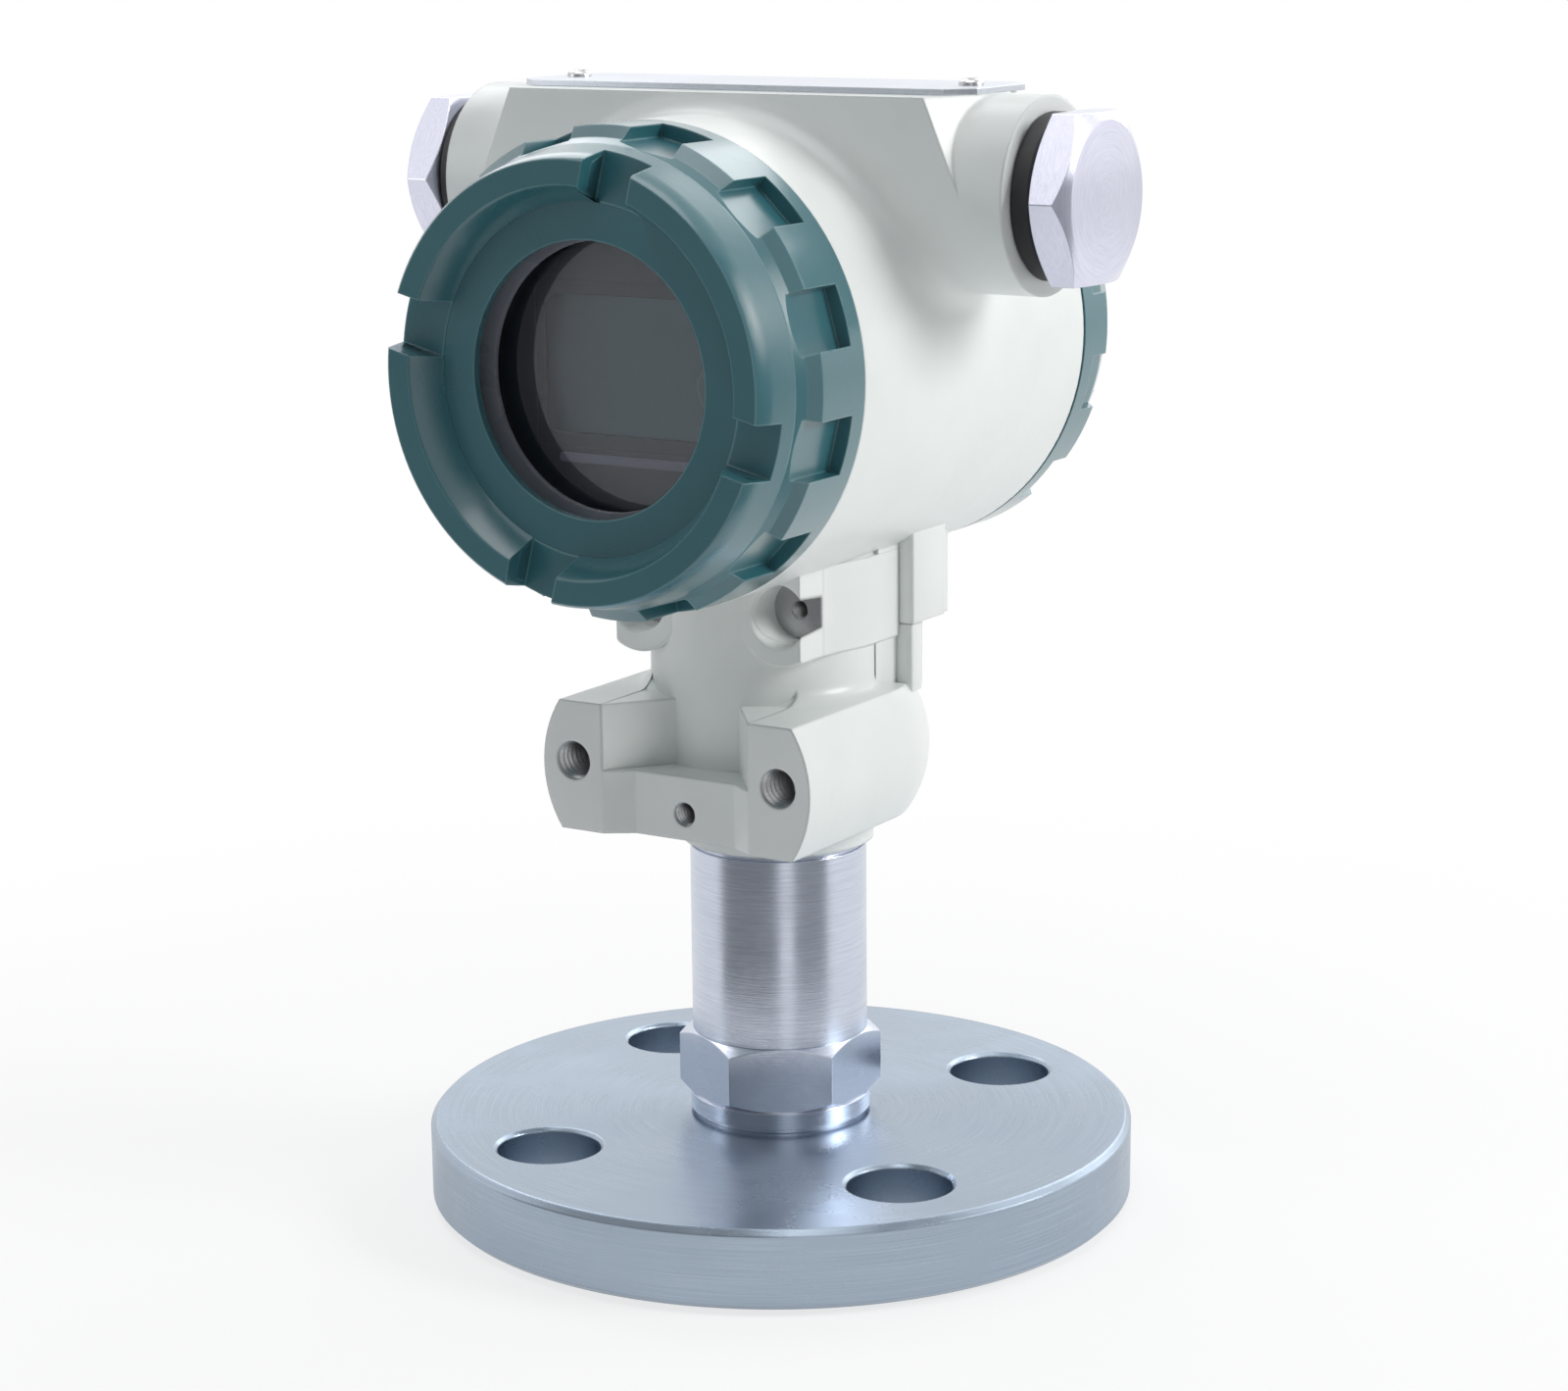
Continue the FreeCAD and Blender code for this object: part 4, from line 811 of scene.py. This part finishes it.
# Soft lamps: place, size, power and colour. The dark cards only show in polished metal and gloss.
studio = {"worldDiffuse": 0.17, "worldTint": (0.95, 0.97, 1.0, 1), "aim": (0, 0, 0.11),
          "lamps": (("keyLight", (0.85, 0.25, 0.55), 0.4, 5.3, (1.0, 1.0, 0.99)),
                    ("backLight", (0.1, 0.9, 0.7), 0.9, 3.4, (0.98, 0.99, 1.0)),
                    ("topLight", (0.0, -0.2, 1.0), 0.8, 3.0, (0.98, 0.99, 1.0)),
                    ("leftLight", (-0.62, 0.35, 0.8), 0.6, 1.9, (0.97, 0.98, 1.0)),
                    ("fillLight", (-0.7, -0.8, 0.5), 0.6, 1.5, (0.96, 0.98, 1.0))),
          "cards": (("cardFront", -43, 32, 0.26), ("cardSide", 50, 94, 0.34)),
          "cardRadius": 0.13, "cardTop": 0.3, "cardSteps": 12, "cardTint": (0.93, 0.96, 1.0, 1),
          "floorColour": (0.9, 0.9, 0.9, 1), "floorNear": 0.07, "floorFar": 0.32, "floorWhite": 0.74,
          "floorGloss": 0.8, "floorHalf": 6.0}


def makeLights():
    aim = Vector(studio["aim"])
    for name, place, size, power, colour in studio["lamps"]:
        lamp = bpy.data.lights.new(name, "AREA")
        lamp.shape, lamp.size, lamp.energy, lamp.color = "DISK", size, power, colour
        thing = bpy.data.objects.new(name, lamp)
        thing.location = place
        thing.rotation_euler = (aim - Vector(place)).to_track_quat("-Z", "Y").to_euler()
        bpy.context.scene.collection.objects.link(thing)


def makeWorld():
    world = bpy.data.worlds.new("studio")
    bpy.context.scene.world = world
    world.use_nodes = True
    tree = world.node_tree
    seen, soft = tree.nodes["Background"], addNode(tree, "ShaderNodeBackground")
    seen.inputs["Color"].default_value = (1, 1, 1, 1)
    seen.inputs["Strength"].default_value = 1.0
    soft.inputs["Color"].default_value = studio["worldTint"]
    soft.inputs["Strength"].default_value = studio["worldDiffuse"]
    rays = addNode(tree, "ShaderNodeLightPath")
    shown = maths(tree, "MAXIMUM", rays.outputs["Is Camera Ray"], rays.outputs["Is Transmission Ray"])
    shown = maths(tree, "MAXIMUM", shown, rays.outputs["Is Glossy Ray"])
    mix = addNode(tree, "ShaderNodeMixShader")
    link(tree, shown, mix.inputs[0])
    link(tree, soft.outputs[0], mix.inputs[1])
    link(tree, seen.outputs[0], mix.inputs[2])
    link(tree, mix.outputs[0], tree.nodes["World Output"].inputs["Surface"])


def stageMesh(name, points, faces, material):
    mesh = bpy.data.meshes.new(name)
    mesh.from_pydata(points, [], faces)
    mesh.materials.append(material)
    thing = bpy.data.objects.new(name, mesh)
    bpy.context.scene.collection.objects.link(thing)
    return thing


def makeCards():
    for name, begin, finish, strength in studio["cards"]:
        material = bpy.data.materials.new(name)
        material.use_nodes = True
        tree = material.node_tree
        tree.nodes.remove(tree.nodes["Principled BSDF"])
        glow = addNode(tree, "ShaderNodeEmission")
        glow.inputs["Color"].default_value = studio["cardTint"]
        glow.inputs["Strength"].default_value = strength
        link(tree, glow.outputs[0], tree.nodes["Material Output"].inputs["Surface"])
        steps, radius = studio["cardSteps"], studio["cardRadius"]
        angles = [math.radians(begin + (finish - begin) * i / steps) for i in range(steps + 1)]
        points = [(radius * math.sin(angle), -radius * math.cos(angle), height)
                  for height in (0.0, studio["cardTop"]) for angle in angles]
        faces = [(i, i + 1, steps + 2 + i, steps + 1 + i) for i in range(steps)]
        card = stageMesh(name, points, faces, material)
        card.visible_camera = card.visible_diffuse = card.visible_transmission = False
        card.visible_shadow = card.visible_volume_scatter = False


def makeFloor():
    material = bpy.data.materials.new("floor")
    material.use_nodes = True
    tree = material.node_tree
    tree.nodes.remove(tree.nodes["Principled BSDF"])
    matt, white = addNode(tree, "ShaderNodeBsdfDiffuse"), addNode(tree, "ShaderNodeEmission")
    matt.inputs["Color"].default_value = studio["floorColour"]
    white.inputs["Color"].default_value = (1, 1, 1, 1)
    white.inputs["Strength"].default_value = 1.0
    place = addNode(tree, "ShaderNodeTexCoord").outputs["Object"]
    length = addNode(tree, "ShaderNodeVectorMath", operation="LENGTH")
    link(tree, place, length.inputs[0])
    share = spread(tree, length.outputs["Value"], studio["floorNear"], studio["floorFar"],
                   studio["floorWhite"], 1.0, smooth=True)
    rays = addNode(tree, "ShaderNodeLightPath")
    shown = maths(tree, "MAXIMUM", rays.outputs["Is Camera Ray"], rays.outputs["Is Transmission Ray"])
    gloss = maths(tree, "MULTIPLY", rays.outputs["Is Glossy Ray"], studio["floorGloss"])
    shown = maths(tree, "MAXIMUM", shown, gloss)
    mix = addNode(tree, "ShaderNodeMixShader")
    link(tree, maths(tree, "MULTIPLY", shown, share), mix.inputs[0])
    link(tree, matt.outputs[0], mix.inputs[1])
    link(tree, white.outputs[0], mix.inputs[2])
    link(tree, mix.outputs[0], tree.nodes["Material Output"].inputs["Surface"])
    half, low = studio["floorHalf"], cadBox[0][2]
    corners = [(-half, -half, low), (half, -half, low), (half, half, low), (-half, half, low)]
    stageMesh("floor", corners, [(0, 1, 2, 3)], material)


makeCamera()
makeLights()
makeWorld()
makeCards()
makeFloor()
bpy.context.scene.view_settings.view_transform = "Standard"
print("camera, lights and floor are set")
